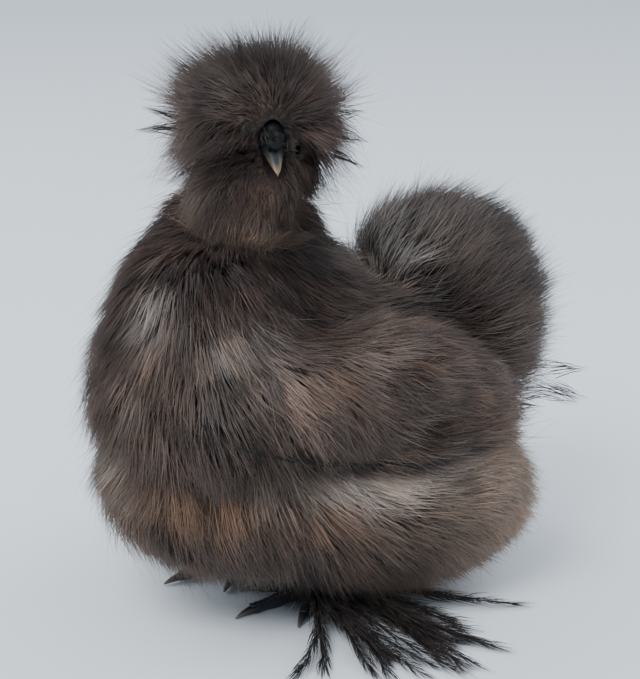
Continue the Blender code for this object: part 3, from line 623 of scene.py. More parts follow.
def rootsOn(name, piece, rng):
    wanted = np.isin(faceForm, [formNames.index(f) for f in piece["forms"]]) & openFace
    forward = -faceCentre[:, 1] / mm
    if name == "breast":
        wanted &= forward > 10
    if name == "back":
        wanted &= forward <= 10
    weight = np.cumsum(faceArea * wanted)
    count = int(piece["tufts"] * density)
    spread = (np.arange(count) + rng.random(count)) / count  # even shares of the area
    chosen = np.searchsorted(weight, spread * weight[-1])
    u, v = rng.random(count), rng.random(count)
    flip = u + v > 1
    u[flip], v[flip] = 1 - u[flip], 1 - v[flip]
    a, b, c = (corner[chosen] for corner in corners)
    roots = a + (b - a) * u[:, None] + (c - a) * v[:, None]
    return roots[rng.permutation(count)]


def growPaths(roots, length, height, sway, bend, droop, stand, steps):
    level, normal, share = fields(roots)
    flow, lift = flowAt(roots, normal, share)
    upright = np.clip(lift, 0, 1)  # where the lie points out of the skin, as on top of crest and tail
    height = height * (1 + stand * upright)
    paths = [roots - normal * coatShape["rootSink"] * mm]
    here = roots - normal * level[:, None]
    for before, now in zip(steps, steps[1:]):
        level, out, share = fields(here)
        flow, lift = flowAt(here, out, share)
        flat = flow - out * lift[:, None]
        across = np.cross(out, flat)
        flat = flat * np.cos(sway)[:, None] + across * np.sin(sway)[:, None]
        push = np.maximum(np.linalg.norm(flat, axis=1), 0.35)[:, None]
        step = unit(flat) * push * (length * (now - before))[:, None]
        here = here + step
        level, out, share = fields(here)
        want = height * (1 - (1 - now) ** bend)
        here = here + out * (want - level)[:, None]
        paths.append(here.copy())
    for k, s in enumerate(steps):
        paths[k][:, 2] -= droop * length * s ** 2
        paths[k][:, 2] = np.maximum(paths[k][:, 2], coatShape["floorRoom"] * mm - shift[2])
        over = paths[k][:, 2] - coatShape["wispTop"] * mm  # the longest wisps of the crest bend over
        paths[k][:, 2] -= np.where(over > 0, over * 0.65, 0)
    return np.stack(paths, 1), normal


def tuftMesh(paths, normal, width):
    count, steps = paths.shape[:2]
    rings = []
    for k, share in enumerate(coatShape["widths"]):
        ahead = paths[:, k + 1] - paths[:, max(k - 1, 0)]
        across = unit(np.cross(ahead, normal)) * (width * share / 2)[:, None]
        up = unit(np.cross(across, ahead)) * (width * coatShape["thickness"] * share)[:, None]
        rings += [paths[:, k] - across, paths[:, k] + up, paths[:, k] + across]
    points = np.stack(rings + [paths[:, -1]], 1)
    local = []
    for k in range(steps - 2):
        for j in range(3):
            a, b = 3 * k + j, 3 * k + (j + 1) % 3
            local += [(a, b, b + 3), (a, b + 3, a + 3)]
    end = 3 * (steps - 2)
    local += [(end + j, end + (j + 1) % 3, 3 * (steps - 1)) for j in range(3)]
    local.append((2, 1, 0))
    local = np.array(local)
    local = outward(points[0], local)
    faces = (np.arange(count)[:, None, None] * points.shape[1] + local).reshape(-1, 3)
    return points, faces


def bakeMap(roots, centre, alongs, sides):  # each tuft a small patch at its root's place round the form
    out = unit(roots - centre)
    u = 0.5 + np.arctan2(out[:, 0], -out[:, 1]) / math.tau
    v = 0.5 + out[:, 2] / 2
    patch = coatShape["patch"]
    u = 0.002 + 0.996 * u[:, None] + patch * (sides - 0.5)
    v = 0.002 + 0.996 * v[:, None] + patch * (alongs - 0.5)
    return np.stack([np.clip(u, 0, 1), np.clip(v, 0, 1)], 2).reshape(-1, 2)


def overWing(points):  # mm above the lower edge of the folded wing
    edge = np.array(coatShape["wingEdge"])[::-1]
    return points[:, 2] / mm - np.interp(-points[:, 1] / mm, edge[:, 0], edge[:, 1])


def flank(points):
    return np.clip((np.abs(points[:, 0]) / mm - 28) / 20, 0, 1)


def coatPiece(name, piece):
    rng = np.random.default_rng(coatShape["seed"] + len(name) * 7)
    roots = rootsOn(name, piece, rng)
    count = len(roots)
    leaders = count // coatShape["clumpSize"]
    tree = KDTree(leaders)
    for k in range(leaders):
        tree.insert(roots[k], k)
    tree.balance()
    leaderOf = np.array([tree.find(root)[1] for root in roots])
    _, _, share = fields(roots)
    room = np.clip(faceRoom(roots, False) / coatShape["faceFade"], 0.2, 1.0)
    wisp = rng.random(count) < piece["wisps"]
    wisp[:leaders] = False
    clumpLength = rng.uniform(0.85, 1.12, leaders)[leaderOf]
    clumpHeight = rng.uniform(0.72, 1.22, leaders)[leaderOf]
    clumpSway = rng.normal(0, 0.6, leaders)[leaderOf]
    length = share @ lengths * clumpLength * rng.uniform(0.75, 1.1, count) * room * np.where(wisp, 1.15, 1.0)
    up = roots[:, 2] / mm
    lip = np.ones(count)
    shade = rng.uniform(0.78, 1.22, count) * (1 + piece["contrast"] * rng.uniform(-1, 1, leaders)[leaderOf])
    for lipped, (level, dark) in coatShape["lipped"].items():
        own = share[:, formNames.index(lipped)]
        below = np.clip((level - up) / 8, 0, 1)
        if lipped in piece["forms"]:
            lip += coatShape["lip"] * np.clip((0.85 - own) * 3, 0, 1) * below
        else:
            # painted shade on tufts under the hanging edge of that form
            shade *= 1 - dark * np.clip((own - 0.06) * 2.4, 0, 1) * below
    if name not in ("crest", "beard", "neck", "tail"):
        over, side = overWing(roots), flank(roots)
        raised, sunk = np.exp(-((over - 7) / 6) ** 2), np.exp(-((over + 4) / 4) ** 2)
        lip += (coatShape["wingLift"] * raised - 0.5 * sunk) * side
    height = share @ depths * clumpHeight * rng.uniform(0.7, 1.12, count) * room * lip
    height *= np.where(wisp, rng.uniform(1.0, 1.5 + piece["stand"], count), 1.0)
    sway = np.radians(piece["sway"]) * (clumpSway + rng.normal(0, 0.7, count) * np.where(wisp, 2.0, 1.0))
    turn, size = coatShape["swirl"]
    sway += np.radians(turn) * clouds(roots, size)
    steps = coatShape["alongSteps"]
    paths, normal = growPaths(roots, length, height, sway, piece["bend"], piece["droop"], piece["stand"],
                              steps)
    pull = piece["clump"] * np.array(steps) ** 1.5
    pull = pull[None, :, None] * np.where(wisp, 0.3, 1.0)[:, None, None]
    lead = paths[leaderOf] + (paths[:, :1] - paths[leaderOf][:, :1]) * 0.25
    paths = paths * (1 - pull) + lead * pull
    width = piece["width"] * mm * rng.uniform(0.7, 1.3, count) * np.where(wisp, 0.45, 1.0) * (0.5 + 0.5 * room)
    width = width / math.sqrt(density)
    points, faces = tuftMesh(paths, normal, width)
    alongs = np.array([s for s in steps[:-1] for _ in range(3)] + [1.0])
    sides = np.array([0.0, 0.5, 1.0] * (len(steps) - 1) + [0.5])
    warm = 1 + rng.normal(0, 0.05, leaders)[leaderOf][:, None] * np.array([1.0, 0.0, -1.0])
    tips = rng.uniform(0.45, 1.25, leaders)[leaderOf][:, None] * alongs[None, :]  # some clumps have paler ends
    shown = paths[:, 0] * 0.35 + paths[:, -1] * 0.65  # where most of each tuft is seen
    if name not in ("crest", "beard", "neck", "tail"):
        # painted shade in the crease under the folded wing
        shade *= 1 - coatShape["wingShade"] * np.exp(-((overWing(shown) + 1) / 2.2) ** 2) * flank(shown)
    colour = (markings(shown, share) * warm * shade[:, None])[:, None, :] * (0.42 + tips)[:, :, None]
    mesh = meshFrom(points.reshape(-1, 3), faces)
    setPaint(mesh, colour.reshape(-1, 3))
    centre = (roots.max(0) + roots.min(0)) / 2
    spots = bakeMap(roots, centre, alongs, sides)
    layer = mesh.uv_layers.new(name="OFBake")
    layer.data.foreach_set("uv", spots[faces.ravel()].astype(np.float32).ravel())
    addPiece(name + "Down", mesh, downMaterial, [nodeOf[f] for f in piece["forms"]])
    print("coat", name, count, "tufts", len(faces), "triangles")


for pieceName, pieceSettings in coatPieces.items():
    coatPiece(pieceName, dict(zip(coatKeys, pieceSettings)))


def loosePiece(name, paths, normal, width, colour, centre, material, nodes, tones=(0.5, 0.7)):
    paths[:, :, 2] = np.maximum(paths[:, :, 2], coatShape["floorRoom"] * mm - shift[2])
    points, faces = tuftMesh(paths, normal, width)
    steps = coatShape["alongSteps"]
    alongs = np.array([s for s in steps[:-1] for _ in range(3)] + [1.0])
    sides = np.array([0.0, 0.5, 1.0] * (len(steps) - 1) + [0.5])
    mesh = meshFrom(points.reshape(-1, 3), faces)
    setPaint(mesh, (colour[:, None, :] * (tones[0] + tones[1] * alongs)[None, :, None]).reshape(-1, 3))
    layer = mesh.uv_layers.new(name="OFBake")
    spots = bakeMap(paths[:, 0], centre, alongs, sides)
    layer.data.foreach_set("uv", spots[faces.ravel()].astype(np.float32).ravel())
    addPiece(name, mesh, material, nodes)
    print(name, len(paths), "tufts", len(faces), "triangles")


faceDown = {"tufts": 5500, "length": 9.5, "width": 0.36, "lift": 0.45, "eyeRoom": 6.4, "slotRoom": -0.4,
            "colour": "#3c302c"}


def makeFaceDown():
    rng = np.random.default_rng(3)
    count = int(faceDown["tufts"] * density)
    out = unit(rng.normal(size=(count * 6, 3)))
    local = out * headShape["skull"]
    normal = unit(out / headShape["skull"])
    eye = np.array(headPose["eye"])
    away = local * [1, 0, 1] - eye * [1, 0, 1]
    off = np.linalg.norm(away, axis=1)
    slot = (onHead(local) - onBill(slotCentre)) @ billAxes.T / mm / (np.array(slotReach) + faceDown["slotRoom"])
    good = (off > faceDown["eyeRoom"]) & (np.linalg.norm(slot, axis=1) > 1)
    local, normal, away, off = (values[good][:count] for values in (local, normal, away, off))
    fromBill = unit(local - np.array(headPose["billBase"])) + unit(away) * np.clip(1.6 - off[:, None] / 8, 0, 1)
    fromBill = fromBill - normal * (fromBill * normal).sum(1)[:, None]
    lie = unit(unit(fromBill) + normal * faceDown["lift"] + rng.normal(0, 0.22, local.shape))
    length = faceDown["length"] * rng.uniform(0.6, 1.2, len(local)) * np.clip(off / 10, 0.5, 2.4)
    paths = [local - normal * 0.6 + lie * (length * s)[:, None] - normal * (length * 0.16 * s * s)[:, None]
             for s in coatShape["alongSteps"]]
    paths = onHead(np.stack(paths, 1))
    width = faceDown["width"] * rng.uniform(0.7, 1.3, len(local)) * mm / math.sqrt(density)
    colour = linear(faceDown["colour"]) * rng.uniform(0.6, 1.3, len(local))[:, None]
    loosePiece("faceDown", paths, normal @ headAxes, width, colour, headCentre, downMaterial, ["head"])


rimDown = {"tufts": 4400, "length": 12.0, "width": 0.34, "forward": (0.3, 1.6), "curl": 0.5,
           "colour": "#4a3b35"}


def makeRimDown():  # short down that springs from round the bill and hides the edge of the bare face
    rng = np.random.default_rng(8)
    count = int(rimDown["tufts"] * density)
    turn = rng.uniform(0, math.tau, count)
    ahead = rng.uniform(-0.3, 0.95, count)
    rim = np.stack([np.zeros(count), np.cos(turn), np.sin(turn)], 1)
    spot = np.array(slotCentre) + np.array(slotReach) * (rim * np.sqrt(1 - ahead ** 2)[:, None])
    spot[:, 0] += slotReach[0] * ahead
    level, _, _ = fields(onBill(spot))
    keep = level < 0.6 * mm
    spot, rim = spot[keep], rim[keep]
    forward = rng.uniform(*rimDown["forward"], len(spot))
    over = np.clip(rim[:, 2], 0, 1)  # above the comb they hang down over it
    lie = unit(rim * (1 - 2.1 * over)[:, None] + (forward + 0.2 * over)[:, None] * [1.0, 0, 0]
               + rng.normal(0, 0.25, spot.shape))
    length = rimDown["length"] * rng.uniform(0.35, 1.2, len(spot)) / (0.7 + 0.4 * forward)
    curl = rim * rng.uniform(-0.2, rimDown["curl"], len(spot))[:, None] + [0.2, 0, 0.1]
    paths = [spot - lie * 0.8 + lie * (length * s)[:, None] - curl * (length * s * s)[:, None]
             for s in coatShape["alongSteps"]]
    width = rimDown["width"] * rng.uniform(0.7, 1.3, len(spot)) * mm / math.sqrt(density)
    # painted shade: the tufts that hang over the comb are up to half as dark
    colour = linear(rimDown["colour"]) * (rng.uniform(0.6, 1.35, len(spot)) * (1 - 0.5 * over))[:, None]
    normal = unit(np.cross(np.cross(lie, [1.0, 0, 0]), lie)) @ billAxes
    loosePiece("rimDown", onBill(np.stack(paths, 1)), normal, width, colour, headCentre, downMaterial,
               ["head"])


makeFaceDown()
makeRimDown()

# pointed dark locks: place, direction, length, width of the lock at its root, droop, strands
lockColour = "#181314"
crestLocks = [
    ((58, -20, 268), (0.8, -0.6, 0.35), 26, 5, 2, 26),
    ((60, -21, 262), (0.8, -0.6, 0.12), 24, 6, 4, 30),
    ((56, -17, 254), (0.75, -0.55, -0.2), 22, 6, 5, 26),
    ((54, -12, 247), (0.7, -0.5, -0.45), 22, 5, 6, 22),
    ((52, -14, 289), (0.75, -0.55, 0.5), 22, 3, -3, 9),
    ((46, 18, 300), (0.1, -0.2, 1.0), 18, 3, 0, 9),
    ((66, 10, 276), (0.6, -0.5, 0.3), 15, 2, 3, 7),
    ((-6, 28, 268), (-0.75, 0.6, 0.35), 17, 5, 2, 12),
    ((-4, 30, 259), (-0.75, 0.6, 0.0), 18, 6, 4, 18),
    ((0, 30, 252), (-0.7, 0.6, -0.3), 20, 6, 4, 20),
    ((2, -34, 262), (-0.3, -0.9, -0.1), 22, 6, 4, 24),
    ((-20, -10, 258), (-0.9, -0.2, -0.3), 24, 6, 4, 24),
]
creaseLine = [(88, 69, 121), (66, 77, 113), (40, 82, 105), (12, 85, 100), (-15, 87, 98), (-45, 84, 99),
              (-72, 78, 101)]
wingLocks = []
for (f, left, up), (f2, left2, up2) in zip(creaseLine, creaseLine[1:]):
    for share in (0.0, 0.33, 0.67):  # thin dark ends along the crease under the wing, which also paint its shade as a dark line
        wingLocks.append(((f + (f2 - f) * share, left + (left2 - left) * share, up + (up2 - up) * share),
                          (f2 - f, left2 - left, up2 - up), 20, 2.4, 1, 7))
wingLocks += [
    ((-24 - 6 * i, 95 - 2.2 * i, 103 + 3 * math.sin(1.9 * i)),
     (-1.0, 0.15 - 0.05 * i, 0.3 * math.sin(2.1 * i)),
     28 + i, 5, 4, 9)
    for i in range(8)
]
wingLocks += [((f, -left, up), (a, -b, c), *rest) for (f, left, up), (a, b, c), *rest in wingLocks]
tailLocks = [
    ((-66 - 6 * i, 66 - 3 * i, 112 - 2 * i), (-0.75, 0.3, -0.55 - 0.1 * math.sin(2 * i)), 26, 8, 4, 14)
    for i in range(7)
]
tailLocks += [
    ((-132 - 4 * (i % 3), 56 - 8 * i, 102 + 10 * math.sin(1.7 * i)),
     (-0.9, 0.5 - 0.1 * i, 0.3 * math.sin(2.3 * i) - 0.1),
     27 + 2 * (i % 4), 9, 5, 16)
    for i in range(14)
]


def makeLocks(name, locks, width, nodes):
    rng = np.random.default_rng(len(name))
    steps = coatShape["alongSteps"]
    made, normals, tones = [], [], []
    for spot, lie, length, thick, droop, strands in locks:
        start = place(*spot) + rng.normal(0, thick / 2.4, (strands, 3)) * mm
        ahead = unit(turned(*lie))
        aim = place(*spot) + ahead * length * mm
        grown = rng.uniform(0.55, 1.0, strands)[:, None]
        paths = []
        for s in steps:
            spotNow = start + (aim - start) * s * grown
            spotNow[:, 2] -= droop * mm * s * s
            paths.append(spotNow + rng.normal(0, 0.5 * s, (strands, 3)) * mm)
        made.append(np.stack(paths, 1))
        normals.append(np.tile(unit(np.cross(np.cross(ahead, [0, 0, 1.0]), ahead)), (strands, 1)))
        tones.append(rng.uniform(0.6, 1.5, strands))
    paths, normal, tone = np.concatenate(made), np.concatenate(normals), np.concatenate(tones)
    colour = linear(lockColour) * tone[:, None]
    across = width * rng.uniform(0.7, 1.3, len(paths)) * mm
    loosePiece(name, paths, normal, across, colour, paths[:, 0].mean(0), dampMaterial, nodes,
               (0.9, 0.3))


makeLocks("crestLocks", crestLocks, 0.6, ["crest"])
makeLocks("wingLocks", wingLocks, 0.7, ["wing_left", "wing_right"])
makeLocks("tailLocks", tailLocks, 0.7, ["tail"])

# head: eyes, bill and comb
eyeShape = {"pupil": 1.9, "iris": 3.4, "irisColour": "#3a2216", "pupilColour": "#050404",
            "rimColour": "#0b0909"}


def makeEye(name, side):
    spot = (headPose["eye"][0], side * headPose["eye"][1], headPose["eye"][2])
    size = headShape["eyeRadius"]
    points, faces = ellipsoid(onHead, spot, (size, size, size), 40, 28)
    local = (points - onHead(spot)) @ headAxes.T / mm
    off = np.hypot(local[:, 0], local[:, 2])[:, None]
    colour = np.where(off < eyeShape["iris"], linear(eyeShape["irisColour"]), linear(eyeShape["rimColour"]))
    colour = np.where(off < eyeShape["pupil"], linear(eyeShape["pupilColour"]), colour)
    mesh = meshFrom(points, outward(points, faces))
    setPaint(mesh, colour)
    addPiece("eye" + name.capitalize(), mesh, eyeMaterial, ["eye_" + name])


billShape = {
    "length": 19.0,
    "width": 5.8,
    "depth": 4.4,
    "edge": (-1.2, -2.6),  # height of the cutting edge at the base, and how far it bends down to the tip
    "slate": "#1d1d20",
    "horn": "#665638",
    "tip": "#7f634d",
    "nostril": ((6.0, 4.5, 1.4), (1.7, 1.2, 0.7)),
}


def billHalf(upper):
    rows = []
    turns = np.linspace(0, math.pi, 18)
    length = billShape["length"] * (1.0 if upper else 0.86)
    for t in np.linspace(0, 0.97, 20):
        wide = billShape["width"] * (1 if upper else 0.86) * (1 - t) ** 0.62
        tall = billShape["depth"] * (1 if upper else 0.62) * (1 - t) ** 0.8
        edge = billShape["edge"][0] + billShape["edge"][1] * t * t + (0.12 if upper else -0.12)
        rise = np.sin(turns) ** 0.9 * tall * (1 if upper else -1)
        rows.append(onBill(np.stack([np.full(18, 0.1 + length * t), wide * np.cos(turns), edge + rise], 1)))
    points, faces = loft(rows, onBill((length + 0.3, 0, -5.0 if upper else -4.0)))
    half = helper(points, outward(points, faces))
    if upper:
        spot, reach = billShape["nostril"]
        for side in (1, -1):
            hole = ellipsoid(onBill, (spot[0], side * spot[1], spot[2]), reach, 20, 12)
            combined(half, "DIFFERENCE", helper(hole[0], outward(*hole)))
    mesh = half.data
    bpy.data.objects.remove(half)
    local = (pointsOf(mesh) - billOrigin) @ billAxes.T / mm
    along = np.clip(local[:, :1] / length, 0, 1)
    edge = billShape["edge"][0] + billShape["edge"][1] * along ** 2
    near = np.clip(1 - np.abs(local[:, 2:] - edge) / (2.0 if upper else 2.6), 0, 1)
    near = near * np.clip(along * 3 - 0.5, 0, 1)
    colour = linear(billShape["slate"]) * (1 - near) + linear(billShape["horn"]) * near
    end = np.clip((along - 0.72) / 0.28, 0, 1)
    setPaint(mesh, colour * (1 - end) + linear(billShape["tip"]) * end)
    name = "billUpper" if upper else "billLower"
    addPiece(name, mesh, hornMaterial, ["bill_upper" if upper else "bill_lower"])


combShape = {
    "place": (19.0, 0.0, 11.5),
    "lumps": ((0, 0, 0, 4.6), (3.6, 2.4, -1.4, 3.2), (3.6, -2.4, -1.4, 3.2),
              (-2.6, 3.0, 0.2, 3.2), (-2.6, -3.0, 0.2, 3.2), (6.2, 2.0, -4.2, 2.7), (6.2, -2.0, -4.2, 2.7), (7.6, 0, -4.8, 2.5)),
    "warts": 40,
    "wart": 1.15,
    "colour": "#0b0b0e",
}


def makeComb():
    rng = np.random.default_rng(5)
    spot = np.array(combShape["place"])
    parts = [ellipsoid(onHead, spot + lump[:3], [lump[3]] * 3, 20, 14) for lump in combShape["lumps"]]
    for _ in range(combShape["warts"]):  # small knobs all over the lumps
        lump = combShape["lumps"][rng.integers(len(combShape["lumps"]))]
        out = unit(rng.normal(size=3) + np.array([0.4, 0, 0.5]))
        parts.append(ellipsoid(onHead, spot + lump[:3] + out * (lump[3] - 0.3), [combShape["wart"]] * 3, 10, 8))
    comb = remeshed(parts, 0.4)
    rough = comb.data
    bpy.data.objects.remove(comb)
    mesh = meshFrom(smoothed(pointsOf(rough), trianglesOf(rough), 2), trianglesOf(rough))
    setPaint(mesh, np.tile(linear(combShape["colour"]), (len(mesh.vertices), 1)))
    addPiece("comb", mesh, skinMaterial, ["comb"])


for eyeName, eyeSide in (("left", 1), ("right", -1)):
    makeEye(eyeName, eyeSide)
billHalf(True)
billHalf(False)
makeComb()
print("head done")

# feet
footShape = {
    "places": {"left": (0.0, 20.0), "right": (8.0, -36.0)},
    "shankTop": (-14.0, 4.0, 48.0),
    "shankRadius": 6.0,
    "toeRadius": 4.0,
    "soleCut": 0.4,
    "toes": {"inner": (-36.0, 33.0), "middle": (2.0, 46.0), "outer": (40.0, 36.0), "back": (172.0, 19.0)},
    "fifth": (-160.0, 16.0, 14.0),
    "skinColour": "#26272c",
    "scuteColour": "#34363c",
}
clawShape = {"length": 12.0, "radius": 2.7, "drop": 2.9, "base": "#1d1b1d", "tip": "#6b6259"}
scuteShape = {"spacing": 3.1, "width": 2.5, "thickness": 0.6, "length": 2.2}


def footPoint(foot, forward, out, up):
    side = 1.0 if foot == "left" else -1.0
    spot = footShape["places"][foot]
    return place(spot[0] + forward, spot[1] + side * out, up)


def tube(points, radii, sides=20, tip=None):
    points = np.array(points)
    rows = []
    turns = (np.arange(sides) + 0.5) * math.tau / sides
    for i, point in enumerate(points):
        ahead = unit(points[min(i + 1, len(points) - 1)] - points[max(i - 1, 0)])
        across = np.cross(ahead, [0, 0, 1.0])
        across = unit(across) if np.linalg.norm(across) > 0.1 else np.array([1.0, 0, 0])
        up = np.cross(across, ahead)
        rows.append(point + (np.outer(np.cos(turns), across) + np.outer(np.sin(turns), up)) * radii[i] * mm)
    return loft(rows, tip)


def toeLine(foot, degrees, length, count=22):
    turn = math.radians(degrees)
    level = footShape["toeRadius"] - footShape["soleCut"]
    spots, radii = [], []
    for t in np.linspace(0, 1, count):
        far = -2 + (length + 2) * t
        up = level + 2 * (1 - t) ** 2 - 0.5 * t
        spots.append(footPoint(foot, far * math.cos(turn), far * math.sin(turn), up))
        radii.append((footShape["toeRadius"] + 1 - 2.2 * t) * (1 + 0.07 * math.cos(math.tau * 3 * t)))
    return spots, radii


def shankLine(foot):
    low = footPoint(foot, 0, 0, 2.0)
    high = footPoint(foot, *footShape["shankTop"])
    spots = [low + (high - low) * t for t in np.linspace(0, 1, 12)]
    return spots, [footShape["shankRadius"] + 0.9 * math.cos(math.pi * t) for t in np.linspace(0, 1, 12)]


def scuteTree():
    tree = bpy.data.node_groups.new("scutes", "GeometryNodeTree")
    tree.interface.new_socket("Geometry", in_out="INPUT", socket_type="NodeSocketGeometry")
    for name, value in (("Spacing", scuteShape["spacing"]), ("Length", scuteShape["length"]),
                        ("Width", scuteShape["width"]), ("Thickness", scuteShape["thickness"])):
        socket = tree.interface.new_socket(name, in_out="INPUT", socket_type="NodeSocketFloat")
        socket.default_value = value * mm
    tree.interface.new_socket("Geometry", in_out="OUTPUT", socket_type="NodeSocketGeometry")
    given = addNode(tree, "NodeGroupInput").outputs
    curve = addNode(tree, "GeometryNodeMeshToCurve", None, {"Mesh": given["Geometry"]})
    even = addNode(tree, "GeometryNodeResampleCurve", {"mode": "LENGTH"},
                   {"Curve": curve.outputs["Curve"], "Length": given["Spacing"]})
    plate = addNode(tree, "GeometryNodeMeshUVSphere", {"Segments": 8, "Rings": 5, "Radius": 1.0})
    size = addNode(tree, "ShaderNodeCombineXYZ", None,
                   {"X": given["Length"], "Y": given["Width"], "Z": given["Thickness"]})
    tangent = addNode(tree, "GeometryNodeInputTangent")
    along = addNode(tree, "FunctionNodeAlignRotationToVector", {"axis": "X"},
                    {"Vector": tangent.outputs["Tangent"]})
    outside = addNode(tree, "GeometryNodeInputNamedAttribute", {"data_type": "FLOAT_VECTOR", "Name": "outside"})
    facing = addNode(tree, "FunctionNodeAlignRotationToVector", {"axis": "Z", "pivot_axis": "X"},
                     {"Rotation": along.outputs["Rotation"], "Vector": outside.outputs["Attribute"]})
    each = addNode(tree, "GeometryNodeInstanceOnPoints", None,
                   {"Points": even.outputs["Curve"], "Instance": plate.outputs["Mesh"],
                    "Rotation": facing.outputs["Rotation"], "Scale": size.outputs["Vector"]})
    real = addNode(tree, "GeometryNodeRealizeInstances", None, {"Geometry": each.outputs["Instances"]})
    paint = addNode(tree, "GeometryNodeSetMaterial", {"Material": scaleMaterial},
                    {"Geometry": real.outputs["Geometry"]})
    addNode(tree, "NodeGroupOutput", None, {"Geometry": paint.outputs["Geometry"]})
    return tree


def makeScutes(foot, tree):
    points, edges, normals = [], [], []

    def addLine(spots, outs):
        start = len(points)
        points.extend(spots)
        normals.extend(outs)
        edges.extend((start + i, start + i + 1) for i in range(len(spots) - 1))

    for degrees, length in footShape["toes"].values():
        spots, radii = toeLine(foot, degrees, length, 14)
        tops = [spot + np.array([0, 0, (r - 0.25) * mm]) for spot, r in zip(spots, radii)]
        addLine(tops[2:], [np.array([0, 0, 1.0])] * (len(tops) - 2))
    spots, radii = shankLine(foot)
    for turn in (-28, 28):  # two rows down the front of the shank
        front = turnAbout(np.array([0, 0, 1.0]), turn) @ turned(1, 0, 0)
        addLine([spot + front * (r - 0.3) * mm for spot, r in zip(spots[2:], radii[2:])], [front] * len(spots[2:]))
    mesh = bpy.data.meshes.new("scuteLines")
    mesh.from_pydata([tuple(point + shift) for point in points], edges, [])
    layer = mesh.attributes.new("outside", "FLOAT_VECTOR", "POINT")
    layer.data.foreach_set("vector", np.array(normals, np.float32).ravel())
    lines = bpy.data.objects.new("scuteLines", mesh)
    bpy.context.scene.collection.objects.link(lines)
    change = lines.modifiers.new("scutes", "NODES")
    change.node_group = tree
    graph = bpy.context.evaluated_depsgraph_get()
    made = bpy.data.meshes.new_from_object(lines.evaluated_get(graph))
    lines.modifiers.remove(change)
    bpy.data.objects.remove(lines)
    made.shade_smooth()
    setPaint(made, np.tile(linear(footShape["scuteColour"]), (len(made.vertices), 1)))
    addPiece("scutes" + foot.capitalize(), made, scaleMaterial, ["foot_" + foot])


def makeClaw(foot, toe, degrees, length, start, slope):
    turn = math.radians(degrees)
    spots, radii = [], []
    for t in np.linspace(0, 0.96, 12):
        far = length - 1.0 + (clawShape["length"] + 1.0) * t
        up = start + clawShape["length"] * slope * t - clawShape["drop"] * t * t
        spots.append(footPoint(foot, far * math.cos(turn), far * math.sin(turn), up))
        radii.append(clawShape["radius"] * (1 - t) ** 0.6)
    points, faces = tube(spots, radii, 14)
    points[:, 2] = np.maximum(points[:, 2], 0.2 * mm - shift[2])
    mesh = meshFrom(points, outward(points, faces))
    ring = np.repeat(np.linspace(0, 1, 12), 14)
    along = np.concatenate([ring, [0.0, 1.0]])[:, None]
    setPaint(mesh, linear(clawShape["base"]) * (1 - along ** 2) + linear(clawShape["tip"]) * along ** 2)
    addPiece("claw" + foot.capitalize() + toe.capitalize(), mesh, hornMaterial,
             ["claw_" + foot + "_" + toe])


def makeFoot(foot, tree):
    spots, radii = shankLine(foot)
    parts = [tube(spots, radii)]
    for degrees, length in footShape["toes"].values():
        parts.append(tube(*toeLine(foot, degrees, length)))
    degrees, length, high = footShape["fifth"]
    turn = math.radians(degrees)
    end = footPoint(foot, length * math.cos(turn), length * math.sin(turn), high)
    root = footPoint(foot, 0, 0, 6)
    parts.append(tube([root + (end - root) * t for t in np.linspace(0, 1, 6)], [4.0, 4.0, 3.7, 3.5, 3.4, 3.0]))
    skinned = remeshed(parts, 0.9)
    rough = skinned.data
    bpy.data.objects.remove(skinned)
    points = smoothed(pointsOf(rough), trianglesOf(rough), 3)
    points[:, 2] = np.maximum(points[:, 2], -shift[2])
    mesh = meshFrom(points, trianglesOf(rough))
    setPaint(mesh, np.tile(linear(footShape["skinColour"]), (len(mesh.vertices), 1)))
    addPiece("foot" + foot.capitalize(), mesh, scaleMaterial, ["foot_" + foot])
    makeScutes(foot, tree)
    level = footShape["toeRadius"] - footShape["soleCut"] - 0.5
    for toe, (degrees, length) in footShape["toes"].items():
        makeClaw(foot, toe, degrees, length, level, 0.05)
    makeClaw(foot, "fifth", footShape["fifth"][0], footShape["fifth"][1], high, 0.6)


vaneShape = {
    "vanes": 26,
    "length": {"left": 118.0, "right": 80.0},
    "first": {"left": 66.0, "right": 84.0},  # degrees outward of the first vane
    "barbs": 190,  # on each vane
    "barbLength": 24.0,
    "barbWidth": 0.45,
    "shaftWidth": 1.0,
    "fluff": 3200,  # tufts down the shank
    "fluffLength": 36.0,
    "dark": "#1b1617",
    "light": "#4a3f3b",
    "shaftColour": "#3d2a1e",
}


def vanePoint(foot, vane, t):  # the middle of each vane, as long arrays
    side = 1.0 if foot == "left" else -1.0
    spot = footShape["places"][foot]
    angle = vane["turn"] + vane["bend"] * t
    forward = spot[0] + vane["forward"] + vane["length"] * t * np.cos(angle)
    out = spot[1] + side * (vane["out"] + vane["length"] * t * np.sin(angle))
    up = 1.4 + vane["rise"] * (1 - t) ** 1.5 + vane["lift"] * np.sin(math.pi * np.clip(t, 0, 1))
    return np.stack([out, -forward, up], -1) * mm


